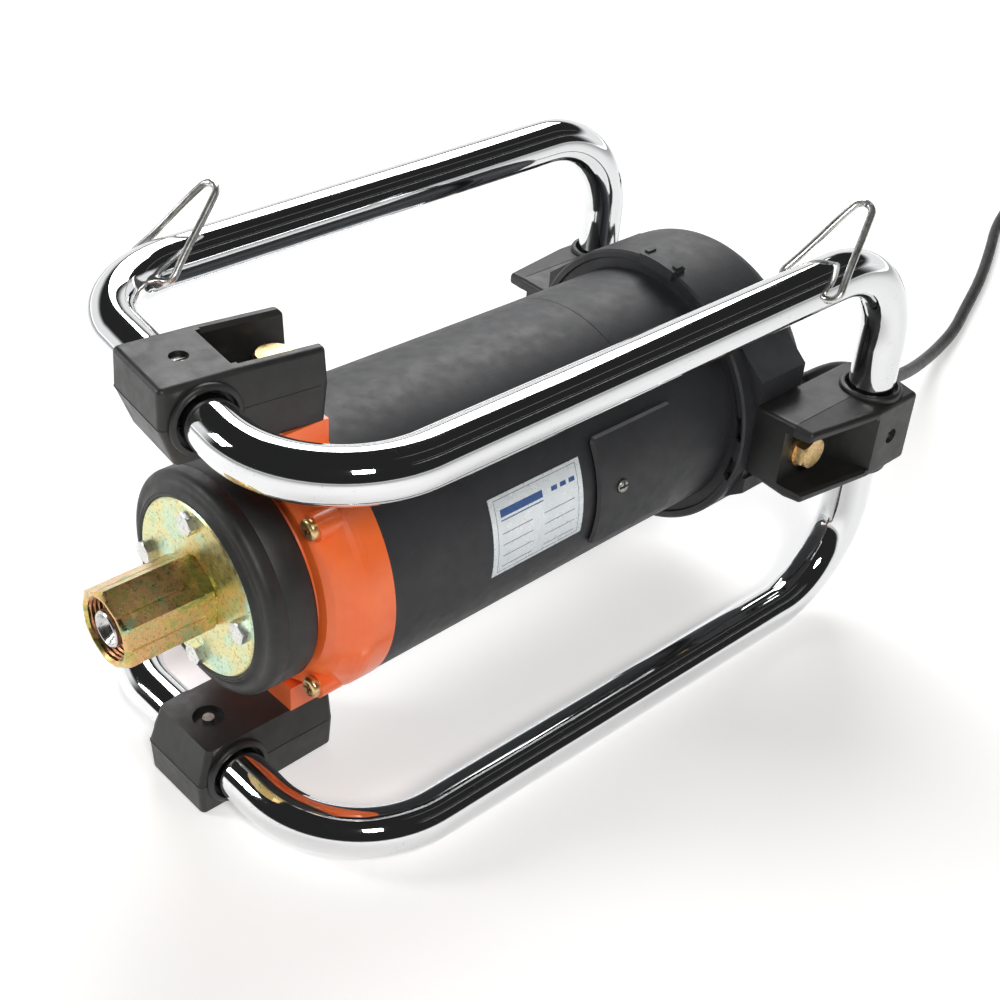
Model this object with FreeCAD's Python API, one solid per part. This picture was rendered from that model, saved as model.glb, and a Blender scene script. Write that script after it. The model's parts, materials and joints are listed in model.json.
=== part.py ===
"""Electric drive unit of a concrete vibrator: a motor hung in a tube cage.

Millimetres, +Z up, +Y from the hose coupling to the rear cap.  The sub-parts
are drawn with the front face of the rubber ring at y = 0 and are moved along Y
at the end, so that the origin lies under the middle of the machine.
"""
import FreeCAD, Part
import math
import os

V = FreeCAD.Vector
X_AXIS, Y_AXIS, Z_AXIS = V(1, 0, 0), V(0, 1, 0), V(0, 0, 1)

# Machine layout
AXIS_Z = 118.5            # motor axis above the ground
FIT = 0.05                # radial play of a fit
COUPLING_END = -50.0      # front end of the hex coupling
RING_END = 26.0           # rear face of the rubber ring
HOUSING_START = 57.0
HOUSING_SEAM = 231.0
HOUSING_END = 300.0
CAP_START, CAP_END = 292.0, 352.0

# Coupling and flange
HEX_ACROSS_FLATS = 36.0
SOCKET_RADIUS, SOCKET_DEPTH = 15.4, 24.0
COUPLING_BORE_RADIUS = 12.0
DRIVE_BORE_RADIUS = 4.6
PLATE_RADIUS, PLATE_FRONT, PLATE_BACK = 44.5, -2.5, 3.5
FLANGE_BOLT_CIRCLE = 37.5
RING_RADIUS = 56.2

# Motor
SHIELD_RADIUS = 71.5
HOUSING_FRONT_RADIUS, HOUSING_REAR_RADIUS = 71.0, 69.5
HOUSING_BORE = 64.5
CAP_RADIUS, CAP_TAPERED_RADIUS = 80.0, 78.5
CAP_WALL, CAP_ROUNDING = 3.5, 14.0
SEAT_X = 78.0             # flat seats of the rear blocks on the cap
SEAT_START, SEAT_END = 300.0, 337.0
LUG_RADIUS = 80.3         # flat seats of the front blocks on the shield
SHAFT_RADIUS = 8.5
CORE_START, CORE_END = 105.0, 185.0
COMMUTATOR_START, COMMUTATOR_RADIUS = 205.0, 24.0
BRUSH_Y = 226.0
FRONT_BEARING_Y, REAR_BEARING_Y = 37.0, 250.0

# Cage
TUBE_RADIUS, TUBE_WALL = 12.7, 1.5
RUN_X = 104.2             # long tube runs left and right of the axis
LEG_Y = 368.0             # upright rear legs
FRONT_REACH = 99.5        # cross legs above and below the axis
FRONT_BEND, REAR_BEND = 56.0, 56.0
BLOCK_WIDTH = 46.0
BLOCK_OUTER = 19.0        # tube centre to the outer face of a block
BLOCK_NOSE = 21.0
FRONT_TAIL, REAR_TAIL = 59.0, 67.0
FRONT_INNER, REAR_INNER = 19.0, 26.0   # tube centre to the inner face
FRONT_BOLT, REAR_BOLT = 45.0, 49.0     # tube centre to the block bolt
FRONT_POCKET, REAR_POCKET = -1.0, -5.0
FRONT_FALL, REAR_FALL = 1.5, 9.0       # drop of the outer face toward the bolt end
FRONT_DRAFT = (0.8, 0.8, 1.0)          # draft of the side, nose and tail walls above the tube axis
REAR_DRAFT = (1.8, 2.0, 1.5)
TOP_YAW = -7.0            # turn of the upper front block about its bolt, degrees

# Wire bails
WIRE_RADIUS = 1.9
BAIL_HALF_WIDTH, BAIL_HEIGHT = 18.9, 67.0
BAIL_FOOT_BEND, BAIL_TIP_BEND = 5.0, 5.4
BAIL_LEAN = 48.0
BAIL_FRONT_Y, BAIL_REAR_Y = 50.0, 289.0
BAIL_FRONT_SHIFT = 2.0    # the front holes sit where the tube starts to bend inward

# Cord
CORD_RADIUS = 4.5
GLAND_X, GLAND_Z = 34.0, 96.0
RELIEF_END = 412.0
COIL_X, COIL_Y = -97.8, 1054.1
COIL_INNER_TURN, COIL_OUTER_TURN = 45.0, 63.0
LEAD_ROUTE = [
    (34, 412, 96), (34, 436, 96), (33.5, 466, 85), (33, 497, 68.5), (28, 529, 53.5),
    (18, 561, 40.5), (7, 594, 28.5), (-6, 632, 16), (-18, 671, 7.5), (-29, 710, 4.6),
    (-44, 748, 4.6), (-65, 803, 4.6), (-92, 861, 4.6), (-117, 910, 4.6), (-138.5, 972.5, 4.6),
    (-158, 1035.5, 4.6)]
TAIL_ROUTE = [
    (-34.8, 1054.1, 13.6), (-34.2, 1030, 14.5), (-30, 1004, 17), (-24, 981, 17)]
PLUG_RADIUS = 17.0

# Middle of the machine without its cord, along Y
MID_Y = (COUPLING_END + LEG_Y + BLOCK_NOSE) / 2


def on_axis(y, radius=0.0, degrees=0.0):
    """Point at a radius and an angle from +X about the motor axis."""
    t = math.radians(degrees)
    return V(radius * math.cos(t), y, AXIS_Z + radius * math.sin(t))


def rod(start, axis, radius, length):
    return Part.makeCylinder(radius, length, start, axis)


def drum(radius, y0, y1):
    return rod(on_axis(y0), Y_AXIS, radius, y1 - y0)


def hoop(outer, inner, y0, y1):
    return drum(outer, y0, y1).cut(drum(inner, y0 - 1, y1 + 1))


def block(x0, x1, y0, y1, z0, z1):
    return Part.makeBox(x1 - x0, y1 - y0, z1 - z0, V(x0, y0, z0))


def turned(outline):
    """Solid of revolution about the motor axis from (radius, y) points."""
    points = [V(r, y, AXIS_Z) for r, y in outline]
    face = Part.Face(Part.makePolygon(points + points[:1]))
    return face.revolve(on_axis(0), Y_AXIS, 360)


def sector(outer, inner, middle, half, y0, y1, taper=0.0):
    """Part of a hoop, half degrees each side of the middle angle."""
    start = middle - half
    corners = [on_axis(y0, inner, start), on_axis(y0, outer, start),
               on_axis(y1, outer - taper, start), on_axis(y1, inner - taper, start)]
    face = Part.Face(Part.makePolygon(corners + corners[:1]))
    return face.revolve(on_axis(0), Y_AXIS, -2 * half)


def hexagon(across_flats, start, axis, length, first_corner):
    """Hexagonal prism whose first corner points along first_corner."""
    corner = across_flats / math.sqrt(3)
    side = axis.cross(first_corner)
    points = []
    for k in range(6):
        t = math.radians(60 * k)
        points.append(start + first_corner * (corner * math.cos(t)) + side * (corner * math.sin(t)))
    return Part.Face(Part.makePolygon(points + points[:1])).extrude(axis * length)


def edges_where(shape, test):
    return [e for e in shape.Edges if test(e.BoundBox)]


def fuse_all(shapes):
    return shapes[0].multiFuse(shapes[1:]).removeSplitter()


def cut_all(shape, tools):
    return shape.cut(Part.makeCompound(tools))


def mirrored_x(shape):
    return shape.mirror(V(0, 0, 0), X_AXIS)


def route_wire(points, radii):
    """Straight runs through the points, joined by tangent arcs at the inner ones."""
    edges = []
    last = points[0]
    for before, here, after, radius in zip(points, points[1:], points[2:], radii):
        a = (before - here).normalize()
        b = (after - here).normalize()
        half = math.acos(max(-1.0, min(1.0, -a.dot(b)))) / 2
        back = radius * math.tan(half)
        start, end = here + a * back, here + b * back
        inward = (a + b).normalize()
        middle = here + inward * (radius / math.cos(half) - radius)
        edges.append(Part.LineSegment(last, start).toShape())
        edges.append(Part.Arc(start, middle, end).toShape())
        last = end
    edges.append(Part.LineSegment(last, points[-1]).toShape())
    return Part.Wire(edges)


def pipe(points, radii, radius):
    """Round bar along a route, with its volume compared with section x length."""
    wire = route_wire(points, radii)
    direction = (points[1] - points[0]).normalize()
    ring = Part.Wire(Part.makeCircle(radius, points[0], direction))
    solid = wire.makePipeShell([ring], True, False)
    expected = math.pi * radius ** 2 * wire.Length
    if abs(solid.Volume / expected - 1) > 0.01:
        raise ValueError("a swept bar has the wrong volume")
    return solid


def slot_cut(centre, axis, across, width, depth):
    """Bar that cuts one slot of a cross recess into a screw head."""
    other = axis.cross(across)
    corner = centre - across * 3.2 - other * (width / 2)
    points = [corner, corner + across * 6.4, corner + across * 6.4 + other * width,
              corner + other * width]
    return Part.Face(Part.makePolygon(points + points[:1])).extrude(axis * depth)


def pan_screw(seat, axis, shank_radius, head_radius, shank_length):
    """Cross-recess pan screw: the head stands on the seat, against the axis."""
    height = head_radius * 0.7
    head = rod(seat - axis * height, axis, head_radius, height)
    head = head.makeFillet(height * 0.55, edges_where(
        head, lambda b: (b.Center - (seat - axis * height)).Length < 0.2))
    screw = head.fuse(rod(seat, axis, shank_radius, shank_length))
    across = Z_AXIS if abs(axis.z) < 0.5 else X_AXIS
    cuts = [slot_cut(seat - axis * (height + 0.1), axis, c, 1.3, height * 0.6)
            for c in (across, axis.cross(across))]
    return cut_all(screw, cuts)


# Coupling, flange and rubber ring

def coupling_hex():
    corner = HEX_ACROSS_FLATS / math.sqrt(3)
    flat = HEX_ACROSS_FLATS / 2
    start, end = COUPLING_END, PLATE_FRONT
    prism = hexagon(HEX_ACROSS_FLATS, on_axis(start), Y_AXIS, end - start, Z_AXIS)
    chamfers = turned([(0, start), (flat, start), (corner + 1, start + 2.4),
                       (corner + 1, end - 2.4), (flat + 0.6, end), (0, end)])
    body = prism.common(chamfers).fuse(drum(SOCKET_RADIUS + 0.5, end, PLATE_BACK))
    bores = [drum(COUPLING_BORE_RADIUS, start - 1, PLATE_BACK + 1),
             drum(SOCKET_RADIUS, start - 1, start + SOCKET_DEPTH),
             turned([(0, start - 1), (SOCKET_RADIUS + 1.8, start - 1),
                     (SOCKET_RADIUS, start + 1.2), (0, start + 1.2)])]
    return cut_all(body, bores)


def flange_bolt_angles():
    return [0, 90, 180, 270]


def flange_plate():
    plate = hoop(PLATE_RADIUS, SOCKET_RADIUS + 0.5 + FIT, PLATE_FRONT, PLATE_BACK)
    rims = edges_where(plate, lambda b: b.YLength < 0.1 and b.XLength > 2 * PLATE_RADIUS - 1)
    plate = plate.makeChamfer(0.8, rims)
    return cut_all(plate, [rod(on_axis(PLATE_FRONT - 1, FLANGE_BOLT_CIRCLE, a), Y_AXIS, 3.1, 9)
                           for a in flange_bolt_angles()])


def flange_bolts():
    bolts = []
    for k, angle in enumerate(flange_bolt_angles()):
        centre = on_axis(PLATE_FRONT, FLANGE_BOLT_CIRCLE, angle)
        t = math.radians(20 + 35 * k)
        corner = V(math.cos(t), 0, math.sin(t))
        head = hexagon(10.0, centre - Y_AXIS * 4.2, Y_AXIS, 4.2, corner)
        dome = rod(centre - Y_AXIS * 4.2, Y_AXIS, 5.75, 4.2)
        dome = dome.makeChamfer(0.7, edges_where(dome, lambda b: b.YMax < PLATE_FRONT - 4))
        bolts.append(head.common(dome).fuse(rod(centre, Y_AXIS, 2.95, 36)))
    return Part.makeCompound(bolts)


def isolator_ring():
    r = RING_RADIUS
    body = turned([(27, PLATE_BACK), (PLATE_RADIUS + 0.3, PLATE_BACK), (PLATE_RADIUS + 0.3, -2.0),
                   (47.2, -2.2), (49.0, 0.0), (r, 0.0), (r, RING_END), (27, RING_END)])
    front = edges_where(body, lambda b: b.YLength < 0.1 and abs(b.YMin) < 0.1 and b.XLength > 2 * r - 1)
    body = body.makeFillet(4.5, front)
    rear = edges_where(body, lambda b: b.YLength < 0.1 and b.YMin > RING_END - 0.1
                       and b.XLength > 2 * r - 1)
    body = body.makeFillet(2.5, rear)
    return cut_all(body, [rod(on_axis(0, FLANGE_BOLT_CIRCLE, a), Y_AXIS, 3.1, 30)
                          for a in flange_bolt_angles()])


# Motor shell

def screw_angles():
    return [45, 135, 225, 315]


def front_shield():
    r = SHIELD_RADIUS
    face = 30.0
    body = turned([(12, RING_END), (50, RING_END), (51.5, 28.5), (56.5, 29.4), (60.5, 31.6),
                   (64.0, 34.6), (67.2, 38.2), (69.4, 41.0), (70.9, 43.4), (r, 46.0),
                   (r, HOUSING_START), (62, HOUSING_START), (62, 40), (28, 40), (26, 50),
                   (20 + FIT, 50), (20 + FIT, FRONT_BEARING_Y), (12, FRONT_BEARING_Y)])
    lugs = [block(-22.5, 22.5, 33, HOUSING_START, AXIS_Z + s * 66 if s > 0 else AXIS_Z - LUG_RADIUS,
                  AXIS_Z + LUG_RADIUS if s > 0 else AXIS_Z - 66) for s in (1, -1)]
    bosses = [rod(on_axis(face, 64.5, a), Y_AXIS, 6.6, 12) for a in screw_angles()]
    body = fuse_all([body] + lugs + bosses)
    holes = [rod(on_axis(RING_END - 1, FLANGE_BOLT_CIRCLE, a), Y_AXIS, 3.0, 9)
             for a in flange_bolt_angles()]
    holes += [rod(on_axis(face - 1, 64.5, a), Y_AXIS, 2.55, 40) for a in screw_angles()]
    for s in (1, -1):
        holes.append(rod(V(0, FRONT_BOLT, AXIS_Z + s * 62.5), Z_AXIS * s, 5.0, 20))
    return cut_all(body, holes)


def shield_screws():
    return Part.makeCompound([pan_screw(on_axis(30, 64.5, a), Y_AXIS, 2.45, 5.3, 40)
                              for a in screw_angles()])


def brush_windows():
    return [block(40, 80, BRUSH_Y - 11, BRUSH_Y + 11, AXIS_Z - 8, AXIS_Z + 8),
            block(-80, -40, BRUSH_Y - 11, BRUSH_Y + 11, AXIS_Z - 8, AXIS_Z + 8)]


def cover_screw_holes(radius):
    return [rod(on_axis(204, 55, 7), on_axis(0, 1, 7) - on_axis(0), radius, 25),
            rod(on_axis(204, 55, 173), on_axis(0, 1, 173) - on_axis(0), radius, 25)]


def front_housing():
    r0, r1 = HOUSING_FRONT_RADIUS, HOUSING_REAR_RADIUS
    shell = turned([(HOUSING_BORE, HOUSING_START), (r0, HOUSING_START), (r1, HOUSING_SEAM),
                    (HOUSING_BORE, HOUSING_SEAM)])
    posts = []
    for a in screw_angles():
        posts.append(rod(on_axis(HOUSING_START, 64.5, a), Y_AXIS, 5.5, 20))
    shell = fuse_all([shell] + posts)
    shell = shell.common(drum(r0, HOUSING_START, HOUSING_SEAM))
    holes = [rod(on_axis(HOUSING_START - 1, 64.5, a), Y_AXIS, 2.5, 16) for a in screw_angles()]
    return cut_all(shell, holes + brush_windows() + cover_screw_holes(1.6))


def cap_screw_points(y):
    return [on_axis(y, 59, a) for a in screw_angles()]


def rear_housing():
    r = HOUSING_REAR_RADIUS
    shell = turned([(HOUSING_BORE, HOUSING_SEAM), (r - 0.5, HOUSING_SEAM), (r, HOUSING_SEAM + 0.5),
                    (r, HOUSING_END), (HOUSING_BORE, HOUSING_END)])
    posts = [rod(p, Y_AXIS, 6.5, 20) for p in cap_screw_points(HOUSING_END - 20)]
    shell = fuse_all([shell] + posts)
    holes = [rod(p, Y_AXIS, 2.05, 20) for p in cap_screw_points(HOUSING_END - 16)]
    return cut_all(shell, brush_windows() + holes)


def wing(side):
    """Sloped webs that carry a flat seat of the cap over to its round shell."""
    r = CAP_RADIUS
    webs = []
    for turn, seat_edge in ((54.5, 37.3), (-31.2, -33.0)):
        t = math.radians(turn)
        sign = 1 if turn > 0 else -1
        outline = [(r * math.cos(t), r * math.sin(t)), (80, seat_edge), (80, sign * 20),
                   (60, sign * 20), (40, sign * 45)]
        points = [V(x, SEAT_START, AXIS_Z + z) for x, z in outline]
        webs.append(Part.Face(Part.makePolygon(points + points[:1])).extrude(
            Y_AXIS * (SEAT_END - SEAT_START)))
    pair = webs[0].fuse(webs[1])
    return pair if side > 0 else mirrored_x(pair)


def rear_cap():
    r, end_r, wall, seat = CAP_RADIUS, CAP_TAPERED_RADIUS, CAP_WALL, 24.0
    lip = HOUSING_REAR_RADIUS + FIT
    slope = CAP_ROUNDING + 2
    shell = turned([(lip, CAP_START + 1.5), (75.2, CAP_START + 1.5), (75.8, CAP_START),
                    (r - 1.2, CAP_START), (r, CAP_START + 1.2), (r, CAP_START + 38),
                    (end_r, CAP_END), (0, CAP_END), (0, CAP_END - wall),
                    (end_r - slope, CAP_END - wall), (end_r - wall, CAP_END - slope),
                    (r - wall, CAP_START + 12), (r - wall, HOUSING_END), (lip, HOUSING_END)])
    rim = edges_where(shell, lambda b: b.YMin > CAP_END - 0.1 and b.YLength < 0.1 and b.XLength > end_r)
    shell = shell.makeFillet(CAP_ROUNDING, rim)
    seats = [block(56, 79, SEAT_START, SEAT_END, AXIS_Z - seat, AXIS_Z + seat),
             block(-79, -56, SEAT_START, SEAT_END, AXIS_Z - seat, AXIS_Z + seat)]
    posts = [rod(p, Y_AXIS, 6, CAP_END - HOUSING_END - 1) for p in cap_screw_points(HOUSING_END)]
    body = fuse_all([shell, wing(1), wing(-1)] + seats + posts)
    half = BLOCK_WIDTH / 2 + 0.6
    cuts = [block(SEAT_X, 100, 296, 400, AXIS_Z - half, AXIS_Z + half),
            block(-100, -SEAT_X, 296, 400, AXIS_Z - half, AXIS_Z + half)]
    cuts += [rod(V(s * 58, LEG_Y - REAR_BOLT, AXIS_Z), X_AXIS * s, 5.0, 30) for s in (1, -1)]
    cuts += [rod(p, Y_AXIS, 2.1, 80) for p in cap_screw_points(HOUSING_END - 1)]
    cuts += [rod(p, Y_AXIS, 5.2, 5) for p in cap_screw_points(CAP_END - 2.4)]
    cuts += [sector(78.2, 73.4, a, 5.5, CAP_START - 1, CAP_START + 5) for a in (-13, 7, 167, 187)]
    cuts.append(block(-12.6, 12.6, CAP_END - 6, CAP_END + 1, AXIS_Z + 15.9, AXIS_Z + 44.1))
    cuts.append(rod(V(GLAND_X, CAP_END - 6, GLAND_Z), Y_AXIS, 8.0 + FIT, 10))
    cuts += [block(-28, 16, CAP_END - 6, CAP_END + 1, AXIS_Z - 58 + 8 * k, AXIS_Z - 54.5 + 8 * k)
             for k in range(3)]
    return cut_all(body, cuts)


def cap_latch():
    clip = sector(82.4, CAP_RADIUS + FIT, 85.5, 8.5, CAP_START - 0.5, CAP_START + 8)
    hook = sector(82.4, 76.5, 85.5, 8.5, CAP_START - 2.2, CAP_START - 0.1)
    ears = [sector(83.6, 82.0, a, 1.0, CAP_START + 1, CAP_START + 7) for a in (78.5, 92.5)]
    return fuse_all([clip, hook] + ears)


def cap_screws():
    return Part.makeCompound([pan_screw(p, -Y_AXIS, 2.0, 4.2, 64)
                              for p in cap_screw_points(CAP_END - 2.4)])


# Brush gear

def outer_edge(b):
    """Whether an edge of a curved cover lies on its outer surface."""
    across = math.hypot(b.XMax, max(abs(b.ZMin - AXIS_Z), abs(b.ZMax - AXIS_Z)))
    return across > 73.0 and math.hypot(b.XMin, min(abs(b.ZMin - AXIS_Z), abs(b.ZMax - AXIS_Z))) > 60


def brush_cover():
    cover = sector(73.2, 69.95, 6, 25.7, 187.5, 248)
    corners = edges_where(cover, lambda b: b.YLength < 0.1 and math.hypot(b.XLength, b.ZLength) < 4)
    cover = cover.makeFillet(3.5, corners)
    cover = cover.makeChamfer(1.5, edges_where(cover, outer_edge))
    seat = on_axis(204, 72.3, 7)
    out = on_axis(0, 1, 7) - on_axis(0)
    return cut_all(cover, [rod(seat, out, 4.0, 4), rod(seat - out * 6, out, 2.1, 8)])


def brush_cover_screws():
    screws = []
    for angle in (7, 173):
        out = on_axis(0, 1, angle) - on_axis(0)
        screws.append(pan_screw(on_axis(204, 72.3, angle), -out, 1.55, 3.6, 14))
    return Part.makeCompound(screws)


def brush_holder():
    z = AXIS_Z
    tube = block(27, 62, BRUSH_Y - 8, BRUSH_Y + 8, z - 5.5, z + 5.5)
    foot = block(38, 60, BRUSH_Y + 8, 246, z - 5, z + 5)
    channel = block(20, 60, BRUSH_Y - 6 - FIT, BRUSH_Y + 6 + FIT, z - 3.5 - FIT, z + 3.5 + FIT)
    return tube.fuse(foot).cut(channel)


def carbon_brush():
    bar = block(20, 44, BRUSH_Y - 6, BRUSH_Y + 6, AXIS_Z - 3.5, AXIS_Z + 3.5)
    return bar.cut(drum(COMMUTATOR_RADIUS + 0.3, BRUSH_Y - 9, BRUSH_Y + 9))


def brush_spring():
    start, length, radius, wire = 44.5, 15.0, 2.6, 0.4
    helix = Part.makeHelix(3.0, length, radius)
    ring = Part.Wire(Part.makeCircle(wire, V(radius, 0, 0), Y_AXIS))
    coil = Part.Wire(helix.Edges).makePipeShell([ring], True, True)
    coil.rotate(V(0, 0, 0), Y_AXIS, 90)
    coil.translate(V(start, BRUSH_Y, AXIS_Z))
    return coil


def bearing_bracket():
    plate = hoop(64.4, 15, 246, 250)
    hub = turned([(12, 246), (21, 246), (21, 262), (16 + FIT, 262), (16 + FIT, REAR_BEARING_Y),
                  (12, REAR_BEARING_Y)])
    body = fuse_all([plate, hub])
    return cut_all(body, [rod(on_axis(240, 43, a), Y_AXIS, 12, 20) for a in (30, 90, 210, 270)])


# Rotor and stator

def rotor_shaft():
    r = SHAFT_RADIUS - FIT
    return turned([(0, -30), (r, -30), (r, 62), (10, 62), (10, 244), (8, 246), (8, REAR_BEARING_Y),
                   (6 - FIT, REAR_BEARING_Y), (6 - FIT, 261), (0, 261)])


def drive_socket():
    """Sleeve pressed over the shaft end, with a blind socket for the hose core."""
    return turned([(0, -33), (DRIVE_BORE_RADIUS, -33), (DRIVE_BORE_RADIUS, -45), (7.6, -49.2),
                   (8.3, -49.2), (8.9, -48.6), (8.9, -36), (9.6, -36), (9.6, -20),
                   (SHAFT_RADIUS, -20), (SHAFT_RADIUS, -30),
                   (0, -30)])


def armature_core():
    core = hoop(37.8, 10, CORE_START, CORE_END)
    slots = []
    for k in range(16):
        slot = block(-1.2, 1.2, CORE_START - 1, CORE_END + 1, AXIS_Z + 29, AXIS_Z + 39)
        slots.append(slot.rotate(on_axis(0), Y_AXIS, k * 22.5))
    return cut_all(core, slots)


def armature_winding(y0, y1):
    """Bundle of end turns standing out of the core slots."""
    return turned([(10, y0), (30, y0), (34, y0 + 4), (34, y1 - 4), (30, y1), (10, y1)])


def commutator():
    """Copper drum with a riser ring toward the winding and slots between its bars."""
    start, end = COMMUTATOR_START, COMMUTATOR_START + 36
    body = turned([(10, start), (26, start), (26, start + 3.5), (COMMUTATOR_RADIUS, start + 4),
                   (COMMUTATOR_RADIUS, end - 1), (COMMUTATOR_RADIUS - 1, end), (10, end)])
    slots = []
    for k in range(24):
        slot = block(-0.4, 0.4, start + 4.5, end + 1, AXIS_Z + COMMUTATOR_RADIUS - 1.2, AXIS_Z + 25)
        slots.append(slot.rotate(on_axis(0), Y_AXIS, k * 15))
    return cut_all(body, slots)


def cooling_fan():
    hub = hoop(15, 10, 62, 80)
    disc = hoop(56, 14, 78, 80)
    blades = []
    for k in range(9):
        blade = block(14, 55, 63, 78.5, AXIS_Z - 1, AXIS_Z + 1)
        blade.rotate(V(30, 0, AXIS_Z), Y_AXIS, 18)
        blades.append(blade.rotate(on_axis(0), Y_AXIS, 40 * k))
    return fuse_all([hub, disc] + blades).common(drum(56, 60, 82))


def bearing_outer(y, width, outer, race, ball_circle, ball):
    """Outer race with its balls, as separate solids."""
    balls = [Part.makeSphere(ball, on_axis(y + width / 2, ball_circle, 45 * k)) for k in range(8)]
    return Part.makeCompound([hoop(outer, race, y, y + width)] + balls)


def stator_core():
    ring = hoop(64.4, 54, CORE_START, CORE_END)
    poles = []
    for angle in (90, 270):
        poles.append(sector(55, 43, angle, 30, CORE_START, CORE_END))
        poles.append(sector(44, 38.5, angle, 60, CORE_START, CORE_END))
    return fuse_all([ring] + poles)


def field_coil(angle):
    around = sector(53.8, 44.3, angle, 57, CORE_START - 15, CORE_END + 15)
    neck = sector(56, 42, angle, 31, CORE_START - 0.5, CORE_END + 0.5)
    return around.cut(neck)


# Cage of two tubes in four rubber blocks

def run_slope():
    """Rise of the lower tube toward its front, so that its rear touches the ground."""
    return (AXIS_Z - TUBE_RADIUS - FRONT_REACH) / (LEG_Y - 1.02 * REAR_BEND)


def reach_at(y):
    return FRONT_REACH + run_slope() * y


def front_leg(side):
    """Middle and direction of a tube's cross leg, and the distances to its left and right corners."""
    if side < 0:
        return V(0, 0, AXIS_Z - FRONT_REACH), X_AXIS, RUN_X, RUN_X
    t = math.radians(TOP_YAW)
    middle = V(FRONT_BOLT * math.sin(t), FRONT_BOLT - FRONT_BOLT * math.cos(t), AXIS_Z + FRONT_REACH)
    return middle, V(math.cos(t), math.sin(t), 0), 107.0, 102.0


def run_point(side, x_side, y):
    """Point on the straight run of a tube, left (-1) or right (1) of the axis."""
    middle, along, left, right = front_leg(side)
    corner = middle - along * left if x_side < 0 else middle + along * right
    rear = V(x_side * RUN_X, LEG_Y, AXIS_Z + side * reach_at(LEG_Y))
    return corner + (rear - corner) * ((y - corner.y) / (rear.y - corner.y))


def bail_place(x_side):
    """Middle of the holes of a wire bail in the upper tube."""
    if x_side < 0:
        return run_point(1, -1, BAIL_FRONT_Y) + X_AXIS * BAIL_FRONT_SHIFT
    return run_point(1, 1, BAIL_REAR_Y)


def handle(side):
    """U-shaped tube above (side 1) or below (side -1) the motor axis."""
    middle, along, left, right = front_leg(side)
    end = AXIS_Z + side * 0.3
    points = [V(-RUN_X, LEG_Y, end), run_point(side, -1, LEG_Y), middle - along * left,
              middle + along * right, run_point(side, 1, LEG_Y), V(RUN_X, LEG_Y, end)]
    radii = [REAR_BEND, FRONT_BEND, FRONT_BEND, REAR_BEND]
    tube = pipe(points, radii, TUBE_RADIUS).cut(pipe(points, radii, TUBE_RADIUS - TUBE_WALL))
    holes = [rod(middle - Z_AXIS * 20, Z_AXIS, 3.05, 40)]
    holes += [rod(V(s * (RUN_X - 20), LEG_Y, AXIS_Z), X_AXIS * s, 3.05, 40) for s in (1, -1)]
    if side > 0:
        holes += [rod(bail_place(s) - X_AXIS * 20, X_AXIS, WIRE_RADIUS + 0.25, 40) for s in (-1, 1)]
    return cut_all(tube, holes)


def joint_sleeves():
    r = TUBE_RADIUS - TUBE_WALL - 0.1
    sleeves = []
    for s in (1, -1):
        sleeve = rod(V(s * RUN_X, LEG_Y, AXIS_Z - 30), Z_AXIS, r, 60)
        sleeve = sleeve.cut(rod(V(s * RUN_X, LEG_Y, AXIS_Z - 31), Z_AXIS, r - 3, 62))
        sleeves.append(sleeve.cut(rod(V(s * (RUN_X - 20), LEG_Y, AXIS_Z), X_AXIS * s, 3.0, 40)))
    return Part.makeCompound(sleeves)


def block_places():
    """Frames of the blocks: tube axis, bolt side and outer side."""
    middle, along, left, right = front_leg(1)
    return {
        "front_top": (middle, along, Z_AXIS.cross(along), Z_AXIS),
        "front_bottom": (V(0, 0, AXIS_Z - FRONT_REACH), -X_AXIS, Y_AXIS, -Z_AXIS),
        "rear_right": (V(RUN_X, LEG_Y, AXIS_Z), Z_AXIS, -Y_AXIS, X_AXIS),
        "rear_left": (V(-RUN_X, LEG_Y, AXIS_Z), -Z_AXIS, -Y_AXIS, -X_AXIS)}


def placed(shape, name):
    origin, x, y, z = block_places()[name]
    shape = shape.copy()
    shape.Placement = FreeCAD.Placement(origin, FreeCAD.Rotation(x, y, z, "XYZ"))
    return shape


def of_block(name, front, rear):
    return front if name.startswith("front") else rear


def inner_reach(name):
    return of_block(name, FRONT_INNER, REAR_INNER)


def rectangle(half_x, y0, y1, z):
    corners = [V(-half_x, y0, z), V(half_x, y0, z), V(half_x, y1, z), V(-half_x, y1, z)]
    return Part.makePolygon(corners + corners[:1])


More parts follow.
